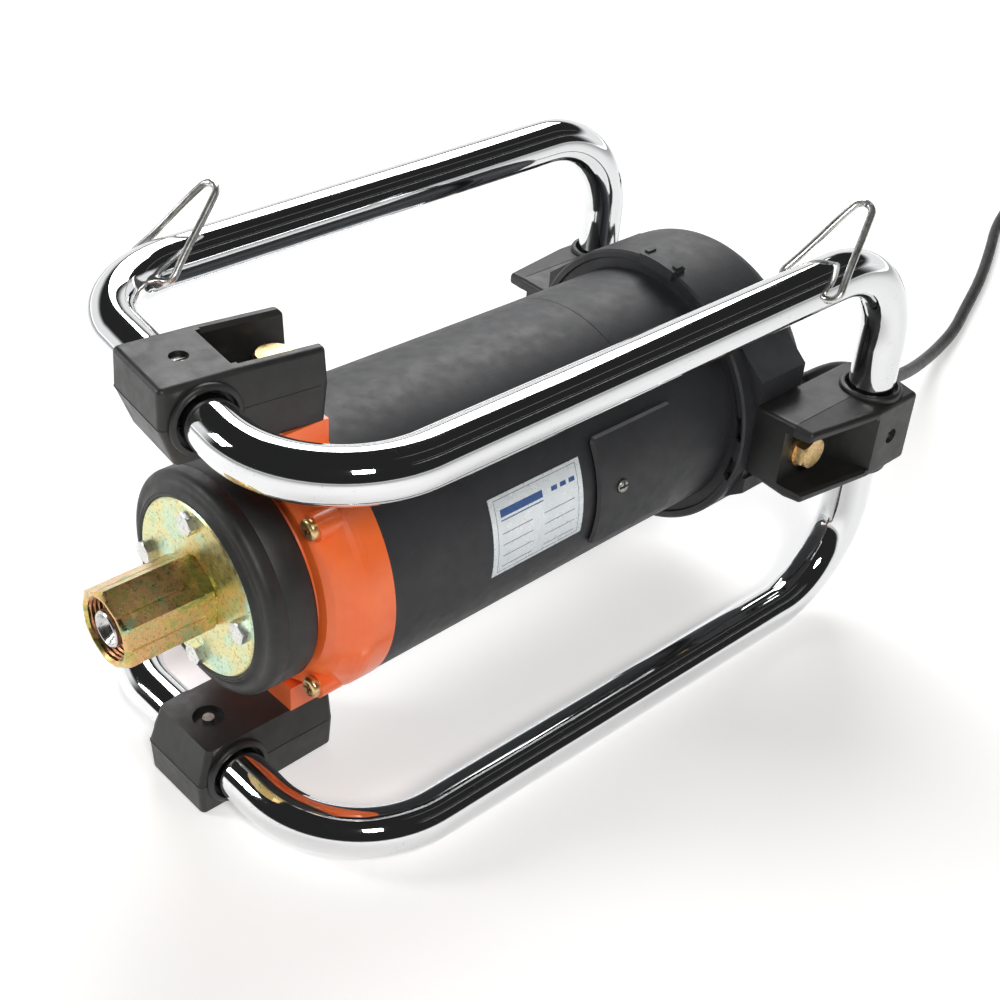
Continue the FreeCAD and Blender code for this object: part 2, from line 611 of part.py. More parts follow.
def rubber_block(name):
    """Moulded block: tube along X, bolt end toward +Y, outer face up, drafted from z = 0."""
    inner, half = inner_reach(name), BLOCK_WIDTH / 2
    nose, tail, outer = -BLOCK_NOSE, of_block(name, FRONT_TAIL, REAR_TAIL), BLOCK_OUTER
    floor, bolt = of_block(name, FRONT_POCKET, REAR_POCKET), of_block(name, FRONT_BOLT, REAR_BOLT)
    lower = Part.makeLoft([rectangle(half - 1.5, nose + 6.5, tail - 1, -inner),
                           rectangle(half, nose, tail, 0)], True, True)
    side, front, back = of_block(name, FRONT_DRAFT, REAR_DRAFT)
    upper = Part.makeLoft([rectangle(half, nose, tail, 0),
                           rectangle(half - side, nose + front, tail - back, outer)], True, True)
    lower = lower.makeFillet(3.0, edges_where(lower, lambda b: b.ZLength > 5))
    upper = upper.makeFillet(3.0, edges_where(upper, lambda b: b.ZLength > 5))
    drop = of_block(name, FRONT_FALL, REAR_FALL)
    slope = [V(-30, 16, outer + 5), V(-30, tail + 5, outer + 5), V(-30, tail + 5, outer - drop),
             V(-30, 16, outer)]
    upper = upper.cut(Part.Face(Part.makePolygon(slope + slope[:1])).extrude(V(60, 0, 0)))
    upper = upper.makeFillet(2.6, edges_where(upper, lambda b: b.ZMin > 3))
    lips = rod(V(-half - 2, 0, 0), X_AXIS, 17.3, BLOCK_WIDTH + 4)
    lips = lips.makeFillet(1.8, lips.Edges)
    body = lower.fuse(upper).fuse(lips)
    pocket = [V(-16.2, 13, outer + 6), V(-16.2, 24, floor), V(-16.2, tail + 5, floor),
              V(-16.2, tail + 5, outer + 6)]
    flare = [V(-18.0, 18, outer + 0.4), V(-16.1, 18, outer - 2.4), V(16.1, 18, outer - 2.4),
             V(18.0, 18, outer + 0.4)]
    cuts = [Part.Face(Part.makePolygon(pocket + pocket[:1])).extrude(V(32.4, 0, 0)),
            Part.Face(Part.makePolygon(flare + flare[:1])).extrude(V(0, tail - 11, -drop) * 1.2),
            rod(V(-40, 0, 0), X_AXIS, TUBE_RADIUS + FIT, 80),
            rod(V(-40, 0, 0), X_AXIS, 14.6, 40 - half + 2.5), rod(V(half - 2.5, 0, 0), X_AXIS, 14.6, 20),
            rod(V(0, bolt, -inner - 1), Z_AXIS, 5.1, inner + 2),
            rod(V(0, 0, 12), Z_AXIS, 4.4, 10),
            rod(V(0, 0, -inner - 1), Z_AXIS, 3.05, 40),
            rod(V(0, 0, -inner - 1), Z_AXIS, 7.8, 4.5)]
    return placed(cut_all(body, cuts), name)


def block_bolt(name):
    floor, inner = of_block(name, FRONT_POCKET, REAR_POCKET) + 2.0, inner_reach(name)
    bolt = of_block(name, FRONT_BOLT, REAR_BOLT)
    top = floor + 6.6
    head = hexagon(17.0, V(0, bolt, floor), Z_AXIS, 6.6, X_AXIS)
    dome = rod(V(0, bolt, floor), Z_AXIS, 9.9, 6.6)
    head = head.common(dome.makeChamfer(1.4, edges_where(dome, lambda b: b.ZMin > top - 0.1)))
    shank = rod(V(0, bolt, -inner - 15), Z_AXIS, 4.95, floor + inner + 15)
    return placed(head.fuse(shank), name)


def block_washer(name):
    bolt, floor = of_block(name, FRONT_BOLT, REAR_BOLT), of_block(name, FRONT_POCKET, REAR_POCKET)
    return placed(rod(V(0, bolt, floor), Z_AXIS, 10.5, 2.0).cut(rod(V(0, bolt, floor), Z_AXIS, 5.0, 2.0)),
                  name)


def tube_lock_screw(name):
    """Slotted screw through a block and its tube, sunk in the outer face."""
    seat, tip = TUBE_RADIUS + 0.5, 0.5 - inner_reach(name)
    head = rod(V(0, 0, seat), Z_AXIS, 4.2, 3.6).cut(block(-0.6, 0.6, -5, 5, seat + 2.1, seat + 4))
    return placed(head.fuse(rod(V(0, 0, tip), Z_AXIS, 2.95, seat - tip)), name)


def bail(x_side):
    """Bent wire: two legs from the holes in the tube to a narrow round tip."""
    half, pin = BAIL_HALF_WIDTH, 9.5
    points = [V(-pin, 0, 0), V(-half, 0, 0), V(0, 0, BAIL_HEIGHT), V(half, 0, 0), V(pin, 0, 0)]
    wire = pipe(points, [BAIL_FOOT_BEND, BAIL_TIP_BEND, BAIL_FOOT_BEND], WIRE_RADIUS)
    wire.rotate(V(0, 0, 0), X_AXIS, -BAIL_LEAN)
    wire.translate(bail_place(x_side))
    return wire


# Label, switch and cord

def label_plate():
    return sector(70.85, 70.5, 9.3, 17.3, 118, 179, 0.52)


def switch_body():
    z = AXIS_Z + 30
    frame = block(-14.5, 14.5, CAP_END, CAP_END + 2.5, z - 17, z + 17)
    frame = frame.makeChamfer(0.9, edges_where(frame, lambda b: b.YMin > CAP_END + 2.4))
    box = block(-12.5, 12.5, CAP_END - 24, CAP_END, z - 14, z + 14)
    body = frame.fuse(box)
    well = block(-8.8, 8.8, CAP_END - 13, CAP_END + 3, z - 12.5, z + 12.5)
    return cut_all(body, [well, rod(V(-10.4, CAP_END - 3, z), X_AXIS, 1.6, 20.8)])


def switch_rocker():
    z, y = AXIS_Z + 30, CAP_END - 3
    outline = [(-11.3, -1.5), (-11.3, 4.5), (-6, 5.2), (0, 6.4), (6, 5.2), (11.3, 4.5), (11.3, -1.5),
               (6, -5), (-6, -5)]
    points = [V(-8.5, y + v, z + u) for u, v in outline]
    key = Part.Face(Part.makePolygon(points + points[:1])).extrude(V(17, 0, 0))
    key = key.fuse(rod(V(-10.2, y, z), X_AXIS, 1.5, 20.4))
    key.rotate(V(0, y, z), X_AXIS, 8)
    return key


def capacitor():
    can = rod(V(-30, 302, AXIS_Z - 25), Y_AXIS, 13, 34)
    can = can.makeFillet(1.5, edges_where(can, lambda b: b.YLength < 0.1))
    tags = [block(-30 + s - 0.4, -30 + s + 0.4, 336, 344, AXIS_Z - 28, AXIS_Z - 22) for s in (-4, 4)]
    return fuse_all([can.fuse(block(-36, -24, 335, 337, AXIS_Z - 29, AXIS_Z - 21))] + tags)


def gland_nut():
    start = V(GLAND_X, CAP_END, GLAND_Z)
    nut = hexagon(21.0, start, Y_AXIS, 10, Z_AXIS)
    dome = rod(start, Y_AXIS, 12.0, 10)
    nut = nut.common(dome.makeChamfer(1.4, edges_where(dome, lambda b: b.YMin > CAP_END + 9.9)))
    body = nut.fuse(rod(start - Y_AXIS * 12, Y_AXIS, 8.0, 12))
    return body.cut(rod(start - Y_AXIS * 13, Y_AXIS, 6.6, 30))


def strain_relief():
    outline = [(0, CAP_END - 4), (6.55, CAP_END - 4), (6.55, CAP_END + 10), (8.6, CAP_END + 10),
               (8.6, CAP_END + 13), (7.6, CAP_END + 14), (5.6, RELIEF_END), (0, RELIEF_END)]
    points = [V(GLAND_X + r, y, GLAND_Z) for r, y in outline]
    return Part.Face(Part.makePolygon(points + points[:1])).revolve(V(GLAND_X, 0, GLAND_Z), Y_AXIS, 360)


def cord_radii(route):
    """Arc radius at each inner point: 0.45 of the shorter run over the tangent of half the turn."""
    radii = []
    for before, here, after in zip(route, route[1:], route[2:]):
        first, second = here - before, after - here
        half = first.getAngle(second) / 2
        radii.append(0.45 * min(first.Length, second.Length) / math.tan(half))
    return radii


def cord_tube(route):
    points = [V(*p) for p in route]
    radii = cord_radii(points)
    print("cord radii", [round(r) for r in radii], "length", round(route_wire(points, radii).Length))
    return pipe(points, radii, CORD_RADIUS)


def cord_coil():
    centre = V(COIL_X, COIL_Y, 0.05)
    height = 4 * CORD_RADIUS + 0.1
    outer = rod(centre, Z_AXIS, COIL_OUTER_TURN + CORD_RADIUS, height)
    return outer.cut(rod(centre, Z_AXIS, COIL_INNER_TURN - CORD_RADIUS, height))


def cord_tie():
    """Strap round the bundle of turns, on the far side of the coil."""
    middle = (COIL_INNER_TURN + COIL_OUTER_TURN) / 2
    width = COIL_OUTER_TURN - COIL_INNER_TURN + 2 * CORD_RADIUS
    top = 4 * CORD_RADIUS + 0.4
    y = COIL_Y + middle
    low, high = y - width / 2 - 1.2, y + width / 2 + 1.2
    x0, x1 = COIL_X - 8, COIL_X + 8
    return fuse_all([block(x0, x1, low, high, top, top + 1.4),
                     block(x0, x1, low - 1.4, low, 0.05, top + 1.4),
                     block(x0, x1, high, high + 1.4, 0.05, top + 1.4)])


def plug_frame():
    """End of the cord and the directions along and across the plug."""
    last, before = V(*TAIL_ROUTE[-1]), V(*TAIL_ROUTE[-2])
    along = last - before
    along = V(along.x, along.y, 0).normalize()
    return last, along, Z_AXIS.cross(along)


def plug_body():
    start, along, across = plug_frame()
    neck = Part.makeCone(CORD_RADIUS + 1.2, 8.5, 20, start, along)
    collar = rod(start + along * 20, along, 9.5, 4)
    grip = Part.makeCone(9.5, PLUG_RADIUS, 16, start + along * 24, along)
    head = rod(start + along * 40, along, PLUG_RADIUS, 22)
    rim = edges_where(head, lambda b: (b.Center - (start + along * 62)).Length < 0.5)
    return fuse_all([neck, collar, grip, head.makeChamfer(1.5, rim)])


def plug_pins():
    start, along, across = plug_frame()
    face = start + along * 62
    pins = []
    for offset in (across * 9.5, across * -9.5, Z_AXIS * 3.0):
        pin = rod(face + offset, along, 2.4, 19)
        tip = edges_where(pin, lambda b: (b.Center - (face + offset + along * 19)).Length < 0.5)
        pins.append(pin.makeChamfer(0.8, tip))
    return Part.makeCompound(pins)


def parts():
    front_bearing = bearing_outer(FRONT_BEARING_Y, 12, 20, 16.8, 14.5, 2.2)
    rear_bearing = bearing_outer(REAR_BEARING_Y, 10, 16, 13.2, 11.2, 1.9)
    names = list(block_places())
    table = {
        "coupling_hex": coupling_hex(), "flange_plate": flange_plate(), "flange_bolts": flange_bolts(),
        "isolator_ring": isolator_ring(), "front_shield": front_shield(),
        "shield_screws": shield_screws(), "front_housing": front_housing(),
        "rear_housing": rear_housing(), "rear_cap": rear_cap(), "cap_latch": cap_latch(),
        "cap_screws": cap_screws(), "brush_cover_right": brush_cover(),
        "brush_cover_left": mirrored_x(brush_cover()), "brush_cover_screws": brush_cover_screws(),
        "brush_holder_right": brush_holder(), "brush_holder_left": mirrored_x(brush_holder()),
        "carbon_brush_right": carbon_brush(), "carbon_brush_left": mirrored_x(carbon_brush()),
        "brush_spring_right": brush_spring(), "brush_spring_left": mirrored_x(brush_spring()),
        "bearing_bracket": bearing_bracket(), "rotor_shaft": rotor_shaft(),
        "drive_socket": drive_socket(), "armature_core": armature_core(),
        "armature_winding_front": armature_winding(88, CORE_START),
        "armature_winding_rear": armature_winding(CORE_END, COMMUTATOR_START),
        "commutator": commutator(), "cooling_fan": cooling_fan(),
        "front_bearing_outer": front_bearing,
        "front_bearing_inner": hoop(12.2, SHAFT_RADIUS, FRONT_BEARING_Y, FRONT_BEARING_Y + 12),
        "rear_bearing_outer": rear_bearing,
        "rear_bearing_inner": hoop(9.2, 6, REAR_BEARING_Y, REAR_BEARING_Y + 10),
        "stator_core": stator_core(), "field_coil_top": field_coil(90),
        "field_coil_bottom": field_coil(270), "handle_top": handle(1), "handle_bottom": handle(-1),
        "handle_joint_sleeves": joint_sleeves(),
        "block_bolts": Part.makeCompound([block_bolt(n) for n in names]),
        "block_washers": Part.makeCompound([block_washer(n) for n in names]),
        "tube_lock_screws": Part.makeCompound([tube_lock_screw(n) for n in names]),
        "bail_front_left": bail(-1), "bail_rear_right": bail(1),
        "label_plate": label_plate(), "switch_body": switch_body(), "switch_rocker": switch_rocker(),
        "capacitor": capacitor(), "gland_nut": gland_nut(), "strain_relief": strain_relief(),
        "cord_lead": cord_tube(LEAD_ROUTE), "cord_coil": cord_coil(), "cord_tail": cord_tube(TAIL_ROUTE),
        "cord_tie": cord_tie(), "plug_body": plug_body(), "plug_pins": plug_pins()}
    for name in names:
        table["block_" + name] = rubber_block(name)
    return table


def main():
    os.makedirs("parts", exist_ok=True)
    for name, shape in parts().items():
        shape = shape.copy()
        shape.translate(V(0, -MID_Y, 0))
        if not shape.isValid():
            raise ValueError(name + " is not a valid shape")
        shape.exportStep("parts/" + name + ".step")


main()
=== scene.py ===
"""Looks of a concrete vibrator drive unit: a motor hung in a chromed tube cage.

Metres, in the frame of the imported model: +Z up, +Y from the hose coupling to the rear cap,
origin on the ground under the middle of the machine.
"""
import bmesh
import bpy
import json
import math
from mathutils import Matrix, Vector

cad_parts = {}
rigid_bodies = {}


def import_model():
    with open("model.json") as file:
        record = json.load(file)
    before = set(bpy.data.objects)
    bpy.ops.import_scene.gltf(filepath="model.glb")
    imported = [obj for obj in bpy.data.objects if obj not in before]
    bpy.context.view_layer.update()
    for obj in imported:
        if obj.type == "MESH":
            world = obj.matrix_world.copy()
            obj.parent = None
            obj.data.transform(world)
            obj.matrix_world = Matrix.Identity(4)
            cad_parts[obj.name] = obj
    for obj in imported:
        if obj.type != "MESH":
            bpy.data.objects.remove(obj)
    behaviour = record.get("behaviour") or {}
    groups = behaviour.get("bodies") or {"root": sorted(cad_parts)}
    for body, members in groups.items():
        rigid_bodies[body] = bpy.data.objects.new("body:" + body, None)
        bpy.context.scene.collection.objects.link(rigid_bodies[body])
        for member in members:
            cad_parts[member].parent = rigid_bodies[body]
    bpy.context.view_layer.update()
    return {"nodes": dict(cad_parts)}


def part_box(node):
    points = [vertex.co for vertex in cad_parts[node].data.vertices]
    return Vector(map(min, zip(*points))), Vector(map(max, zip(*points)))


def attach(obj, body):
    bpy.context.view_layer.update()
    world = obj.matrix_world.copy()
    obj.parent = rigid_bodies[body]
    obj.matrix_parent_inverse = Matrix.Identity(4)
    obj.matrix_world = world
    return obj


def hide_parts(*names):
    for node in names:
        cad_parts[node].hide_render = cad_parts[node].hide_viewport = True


for leftover in list(bpy.data.objects):
    bpy.data.objects.remove(leftover)
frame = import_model()
NODES = frame["nodes"]

# Driving places and sizes of the machine, read from the frame
AXIS_Z = 0.1185
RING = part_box("isolator_ring")
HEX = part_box("coupling_hex")
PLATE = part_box("flange_plate")
RING_FRONT, RING_REAR = RING[0].y + 0.0022, RING[1].y
PLATE_FRONT, PLATE_BACK = PLATE[0].y, PLATE[1].y
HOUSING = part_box("front_housing")
TOP_LEG_TURN = math.radians(-7.0)      # the upper front block is turned about its bolt
TUBE_RADIUS = 0.0127
RUN_X = 0.1042
FRONT_Y, LEG_Y = -0.1695, 0.1985
FRONT_REACH, REAR_REACH = 0.0995, 0.10695
FRONT_BOLT = 0.045                     # from the cross leg to the block bolt
TOP_LEFT, TOP_RIGHT = 0.107, 0.102     # from the middle of the upper cross leg to its corners
BEND = 0.056
WIRE_RADIUS = 0.0019
BAIL_LEAN = math.radians(-48)
BAIL_Y = 0.1195                        # the bails sit this far in front of and behind the origin
BAIL_FRONT_SHIFT = 0.002
BLOCK_HALF, BLOCK_NOSE = 0.0230, -0.0210
FRONT_TAIL, REAR_TAIL = 0.059, 0.067   # bolt ends of the rubber blocks
HEX_FLAT = 0.0180                      # half the width across flats
THREAD_RADIUS, BORE_RADIUS = 0.0154, 0.0120
LABEL_RADIUS = 0.07138
CORD_RADIUS = 0.0045
LINE_PLACES = [0.36, 0.30, 0.34, 0.38, 0.41, 0.33]   # double line on each flat of the coupling
RELIEF_START, RELIEF_END = Vector((0.034, 0.1925, 0.096)), Vector((0.034, 0.2425, 0.096))


# Camera: the photograph's viewing angle

def make_camera():
    yaw, pitch, roll = math.radians(44.56), math.radians(34.93), math.radians(4.24)
    level_reach = math.cos(pitch)
    forward = Vector((-math.sin(yaw) * level_reach, math.cos(yaw) * level_reach, -math.sin(pitch)))
    level = Vector((math.cos(yaw), math.sin(yaw), 0))
    upright = level.cross(forward)
    right = level * math.cos(roll) + upright * math.sin(roll)
    up = upright * math.cos(roll) - level * math.sin(roll)
    data = bpy.data.cameras.new("camera")
    data.lens = 55.5
    data.sensor_width = 36.0
    camera = bpy.data.objects.new("camera", data)
    turn = Matrix((right, up, -forward)).transposed()
    camera.matrix_world = Matrix.Translation((0.48123, -0.46722, 0.5629)) @ turn.to_4x4()
    bpy.context.scene.collection.objects.link(camera)
    bpy.context.scene.camera = camera


# Cord

LEAD = [
    (0.0340, 0.2425, 0.0960), (0.0340, 0.2665, 0.0960), (0.0335, 0.2965, 0.0850),
    (0.0330, 0.3275, 0.0685), (0.0280, 0.3595, 0.0535), (0.0180, 0.3915, 0.0405),
    (0.0070, 0.4245, 0.0285), (-0.0060, 0.4625, 0.0160), (-0.0180, 0.5015, 0.0075),
    (-0.0290, 0.5405, 0.0046), (-0.0440, 0.5785, 0.0046), (-0.0650, 0.6335, 0.0046),
    (-0.0920, 0.6915, 0.0046), (-0.1170, 0.7405, 0.0046), (-0.1385, 0.8030, 0.0046),
    (-0.1580, 0.8660, 0.0046),
]
TAIL = [
    (-0.0348, 0.8846, 0.0136), (-0.0342, 0.8605, 0.0145), (-0.030, 0.8345, 0.017),
    (-0.024, 0.8115, 0.017)]
COIL_CENTRE = (-0.0978, 0.8846)
COIL_RADII = [0.063, 0.054, 0.045, 0.045, 0.054, 0.063]
COIL_HEIGHTS = [0.0046, 0.0046, 0.0046, 0.0136, 0.0136, 0.0136]
COIL_START = math.radians(197.2)
POINTS_PER_TURN = 16
CHANGE = 0.75                 # part of a turn after which it moves over to the next one


def ease(t):
    t = max(0.0, min(1.0, t))
    return t * t * (3 - 2 * t)


def coil_points():
    """Two layers of turns: inward on the ground, then outward on top, clockwise from above."""
    turns = (COIL_START + 2 * math.pi * 5) / (2 * math.pi)
    count = int(turns * POINTS_PER_TURN)
    points = []
    for k in range(1, count):
        done = turns * k / count
        turn = int(done)
        part = ease((done - turn - CHANGE) / (1 - CHANGE))
        after = min(turn + 1, 5)
        radius = COIL_RADII[turn] + (COIL_RADII[after] - COIL_RADII[turn]) * part
        height = COIL_HEIGHTS[turn] + (COIL_HEIGHTS[after] - COIL_HEIGHTS[turn]) * part
        if COIL_HEIGHTS[after] != COIL_HEIGHTS[turn]:
            radius -= 0.004 * math.sin(math.pi * part)
        angle = COIL_START - 2 * math.pi * done
        points.append((COIL_CENTRE[0] + radius * 1.01 * math.cos(angle),
                       COIL_CENTRE[1] + radius * 1.01 * math.sin(angle), height))
    return points


def nurbs(name, points, radius, material):
    """Round bar along one spline; its radius is on the points, which a curve's bound box counts too."""
    curve = bpy.data.curves.new(name, "CURVE")
    curve.dimensions = "3D"
    curve.resolution_u = 10
    curve.bevel_depth = 1.0
    curve.bevel_resolution = 8
    curve.use_fill_caps = True
    spline = curve.splines.new("NURBS")
    spline.points.add(len(points) - 1)
    for point, place in zip(spline.points, points):
        point.co = (*place, 1.0)
        point.radius = radius
    spline.order_u = 3
    spline.use_endpoint_u = True
    piece = bpy.data.objects.new(name, curve)
    piece.data.materials.append(material)
    bpy.context.scene.collection.objects.link(piece)
    return piece


def curve_length(piece):
    """Length of the centre line of a one-spline curve."""
    curve = piece.data
    depth, curve.bevel_depth = curve.bevel_depth, 0.0
    line = bpy.data.meshes.new_from_object(piece.evaluated_get(bpy.context.evaluated_depsgraph_get()))
    curve.bevel_depth = depth
    places = [v.co for v in line.vertices]
    return sum((b - a).length for a, b in zip(places, places[1:]))


def make_cord(material):
    piece = nurbs("power_cord", LEAD + coil_points() + TAIL, CORD_RADIUS, material)
    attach(piece, "base")
    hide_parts("cord_lead", "cord_coil", "cord_tail")
    return piece


# Materials

class Look:
    """A principled material fed by procedural nodes in object coordinates."""

    def __init__(self, name, **values):
        self.material = bpy.data.materials.new(name)
        self.material.use_nodes = True
        self.tree = self.material.node_tree
        self.shader = self.tree.nodes["Principled BSDF"]
        self.place = self.node("ShaderNodeTexCoord").outputs["Object"]
        self.bump_normal = None
        self.feed(**values)

    def feed(self, **values):
        for key, value in values.items():
            socket = self.shader.inputs[key.replace("_", " ")]
            if isinstance(value, bpy.types.NodeSocket):
                self.tree.links.new(value, socket)
            else:
                socket.default_value = value

    def node(self, kind, values=None, **settings):
        made = self.tree.nodes.new(kind)
        for key, value in settings.items():
            setattr(made, key, value)
        for key, value in (values or {}).items():
            if isinstance(value, bpy.types.NodeSocket):
                self.tree.links.new(value, made.inputs[key])
            else:
                made.inputs[key].default_value = value
        return made

    def stretched(self, squash):
        made = self.node("ShaderNodeVectorMath", {0: self.place, 1: squash}, operation="MULTIPLY")
        return made.outputs[0]

    def noise(self, scale, detail=3.0, rough=0.5, squash=None, distortion=0.0):
        place = self.stretched(squash) if squash else self.place
        made = self.node("ShaderNodeTexNoise", {"Vector": place, "Scale": scale, "Detail": detail,
                                                "Roughness": rough, "Distortion": distortion})
        return made.outputs["Fac"]

    def cells(self, scale):
        return self.node("ShaderNodeTexVoronoi", {"Vector": self.place, "Scale": scale}).outputs["Distance"]

    def ramp(self, value, *stops):
        made = self.node("ShaderNodeValToRGB", {"Fac": value})
        ramp = made.color_ramp
        while len(ramp.elements) < len(stops):
            ramp.elements.new(1.0)
        for element, (position, colour) in zip(ramp.elements, stops):
            element.position = position
            if isinstance(colour, (int, float)):
                colour = (colour, colour, colour)
            element.color = (*colour, 1.0)
        return made.outputs["Color"]

    def maths(self, operation, a, b=0.0, c=0.0):
        return self.node("ShaderNodeMath", {0: a, 1: b, 2: c}, operation=operation).outputs[0]

    def mix(self, factor, a, b, blend="MIX"):
        made = self.node("ShaderNodeMix", data_type="RGBA", blend_type=blend)
        for index, value in ((0, factor), (6, a), (7, b)):
            if isinstance(value, bpy.types.NodeSocket):
                self.tree.links.new(value, made.inputs[index])
            elif index == 0:
                made.inputs[0].default_value = value
            else:
                made.inputs[index].default_value = (*value, 1.0)
        return made.outputs[2]

    def bump(self, height, distance):
        values = {"Height": height, "Distance": distance, "Strength": 1.0}
        if self.bump_normal is not None:
            values["Normal"] = self.bump_normal
        self.bump_normal = self.node("ShaderNodeBump", values).outputs[0]
        self.feed(Normal=self.bump_normal)


def chrome():
    look = Look("polished_chrome", Metallic=1.0)
    haze = look.noise(38, 4)
    specks = look.noise(1500, 2, 0.6)
    stain = look.noise(70, 5, 0.65)
    dirt = look.maths("MULTIPLY", look.ramp(specks, (0.63, 0.0), (0.72, 1.0)),
                      look.ramp(stain, (0.52, 0.0), (0.66, 1.0)))
    look.feed(Base_Color=look.mix(dirt, (0.77, 0.78, 0.79), (0.20, 0.15, 0.11)))
    rough = look.ramp(haze, (0.35, 0.025), (0.7, 0.075))
    look.feed(Roughness=look.maths("MULTIPLY_ADD", dirt, 0.35, rough))
    look.bump(look.noise(26, 2, 0.4), 0.00022)
    look.bump(look.noise(240, 3, 0.6, squash=(1, 0.12, 1)), 0.000006)
    look.bump(specks, 0.000004)
    return look.material


def plated(name, stops, scale, rough=(0.24, 0.42), lines=None):
    """Zinc plate whose passivation film changes colour over the surface."""
    look = Look(name, Metallic=1.0)
    film = look.noise(scale, 5, 0.62, distortion=0.9)
    colour = look.ramp(film, *stops)
    grain = look.noise(1900, 3, 0.6)
    pits = look.ramp(look.noise(620, 4, 0.7), (0.30, 0.45), (0.47, 1.0))
    colour = look.mix(1.0, colour, pits, "MULTIPLY")
    colour = look.mix(0.22, colour, look.ramp(grain, (0.3, 0.15), (0.7, 1.0)), "MULTIPLY")
    look.feed(Base_Color=colour, Roughness=look.ramp(look.noise(260, 4), (0.3, rough[0]), (0.7, rough[1])))
    look.bump(grain, 0.00003)
    if lines:
        look.bump(look.noise(lines[0], 2, 0.5, squash=lines[1]), 0.00002)
    return look.material


def yellow_zinc_hex():
    return plated("yellow_zinc_hex", (
        (0.28, (0.30, 0.36, 0.16)), (0.38, (0.52, 0.50, 0.16)), (0.46, (0.80, 0.58, 0.20)),
        (0.53, (0.86, 0.50, 0.24)), (0.60, (0.66, 0.56, 0.22)), (0.68, (0.42, 0.58, 0.34)),
        (0.76, (0.76, 0.44, 0.36))), 62, (0.22, 0.38), (900, (1.0, 0.05, 1.0)))


def yellow_zinc_plate():
    return plated("yellow_zinc_plate", (
        (0.28, (0.55, 0.74, 0.42)), (0.42, (0.72, 0.80, 0.48)), (0.52, (0.84, 0.76, 0.38)),
        (0.60, (0.66, 0.82, 0.58)), (0.70, (0.58, 0.80, 0.66)),
        (0.78, (0.86, 0.62, 0.42))), 36, (0.30, 0.46))


def yellow_zinc_bolt():
    return plated("yellow_zinc_bolt", (
        (0.30, (0.62, 0.44, 0.16)), (0.45, (0.90, 0.66, 0.30)), (0.55, (0.94, 0.62, 0.36)),
        (0.66, (0.72, 0.62, 0.28)), (0.75, (0.88, 0.50, 0.40))), 110)


def copper_bore():
    return plated("coppery_bore", (
        (0.3, (0.20, 0.10, 0.06)), (0.5, (0.56, 0.26, 0.14)), (0.7, (0.78, 0.44, 0.28))), 90, (0.25, 0.45))


def white_zinc():
    return plated("white_zinc", (
        (0.3, (0.62, 0.63, 0.60)), (0.5, (0.80, 0.80, 0.77)), (0.7, (0.70, 0.73, 0.74))), 120, (0.26, 0.42))


def dull_steel():
    return plated("dull_steel", (
        (0.3, (0.30, 0.29, 0.27)), (0.5, (0.46, 0.45, 0.43)), (0.7, (0.38, 0.38, 0.38))), 160, (0.30, 0.5))


def bright_steel():
    return plated("turned_steel", (
        (0.3, (0.62, 0.62, 0.60)), (0.5, (0.74, 0.73, 0.71)), (0.7, (0.68, 0.68, 0.69))), 200, (0.16, 0.3))


def moulded_rubber(name, shade, rough, gloss=0.5):
    """Black rubber with a mottled skin, rub marks and fine dust."""
    look = Look(name, Specular_IOR_Level=gloss)
    mottle = look.noise(46, 5, 0.6)
    rubs = look.noise(210, 4, 0.6, squash=(1, 0.25, 0.5))
    dust = look.noise(2600, 2, 0.6)
    colour = look.ramp(mottle, (0.3, shade * 0.75), (0.7, shade * 1.35))
    colour = look.mix(look.ramp(rubs, (0.60, 0.0), (0.78, 0.35)), colour, (shade * 3.2,) * 3)
    colour = look.mix(look.ramp(dust, (0.66, 0.0), (0.74, 0.25)), colour, (shade * 4,) * 3)
    look.feed(Base_Color=colour)
    look.feed(Roughness=look.ramp(look.noise(95, 5, 0.65), (0.3, rough - 0.08), (0.7, rough + 0.1)))
    look.bump(look.noise(900, 4, 0.65), 0.00005)
    look.bump(look.noise(70, 3), 0.00018)
    return look.material


def grained_plastic():
    """Charcoal plastic with a fine spark-eroded grain and faint handling marks."""
    look = Look("grained_plastic", Specular_IOR_Level=0.5)
    cloud = look.noise(30, 5, 0.6)
    marks = look.noise(330, 5, 0.7, squash=(1.0, 0.15, 1.0))
    colour = look.ramp(cloud, (0.3, (0.016, 0.0172, 0.0205)), (0.7, (0.025, 0.0263, 0.0300)))
    colour = look.mix(look.ramp(marks, (0.64, 0.0), (0.80, 0.30)), colour, (0.075, 0.075, 0.078))
    look.feed(Base_Color=colour, Roughness=look.ramp(look.noise(140, 4), (0.3, 0.46), (0.7, 0.58)))
    look.bump(look.cells(1900), 0.00006)
    look.bump(look.noise(3600, 2), 0.00003)
    return look.material


def enamel():
    """Gloss orange enamel over a casting, darker where it was sprayed thin."""
    look = Look("orange_enamel", Coat_Weight=0.35, Coat_Roughness=0.12)
    cloud = look.noise(55, 4)
    chips = look.ramp(look.noise(900, 3, 0.7), (0.71, 0.0), (0.74, 1.0))
    colour = look.ramp(cloud, (0.3, (0.93, 0.145, 0.026)), (0.7, (1.0, 0.19, 0.042)))
    colour = look.mix(look.maths("MULTIPLY", chips, 0.5), colour, (0.55, 0.06, 0.01))
    look.feed(Base_Color=colour, Roughness=look.ramp(look.noise(180, 3), (0.3, 0.30), (0.7, 0.42)))
    look.bump(look.noise(480, 2), 0.00005)
    look.bump(look.noise(90, 3), 0.00012)
    return look.material


def foil():
    look = Look("label_foil", Metallic=0.35)
    colour = look.ramp(look.noise(60, 3), (0.3, (0.74, 0.80, 0.84)), (0.7, (0.84, 0.88, 0.90)))
    look.feed(Base_Color=colour, Roughness=look.ramp(look.noise(300, 3), (0.3, 0.24), (0.7, 0.36)))
    look.bump(look.noise(900, 2, squash=(1, 0.1, 1)), 0.00001)
    return look.material


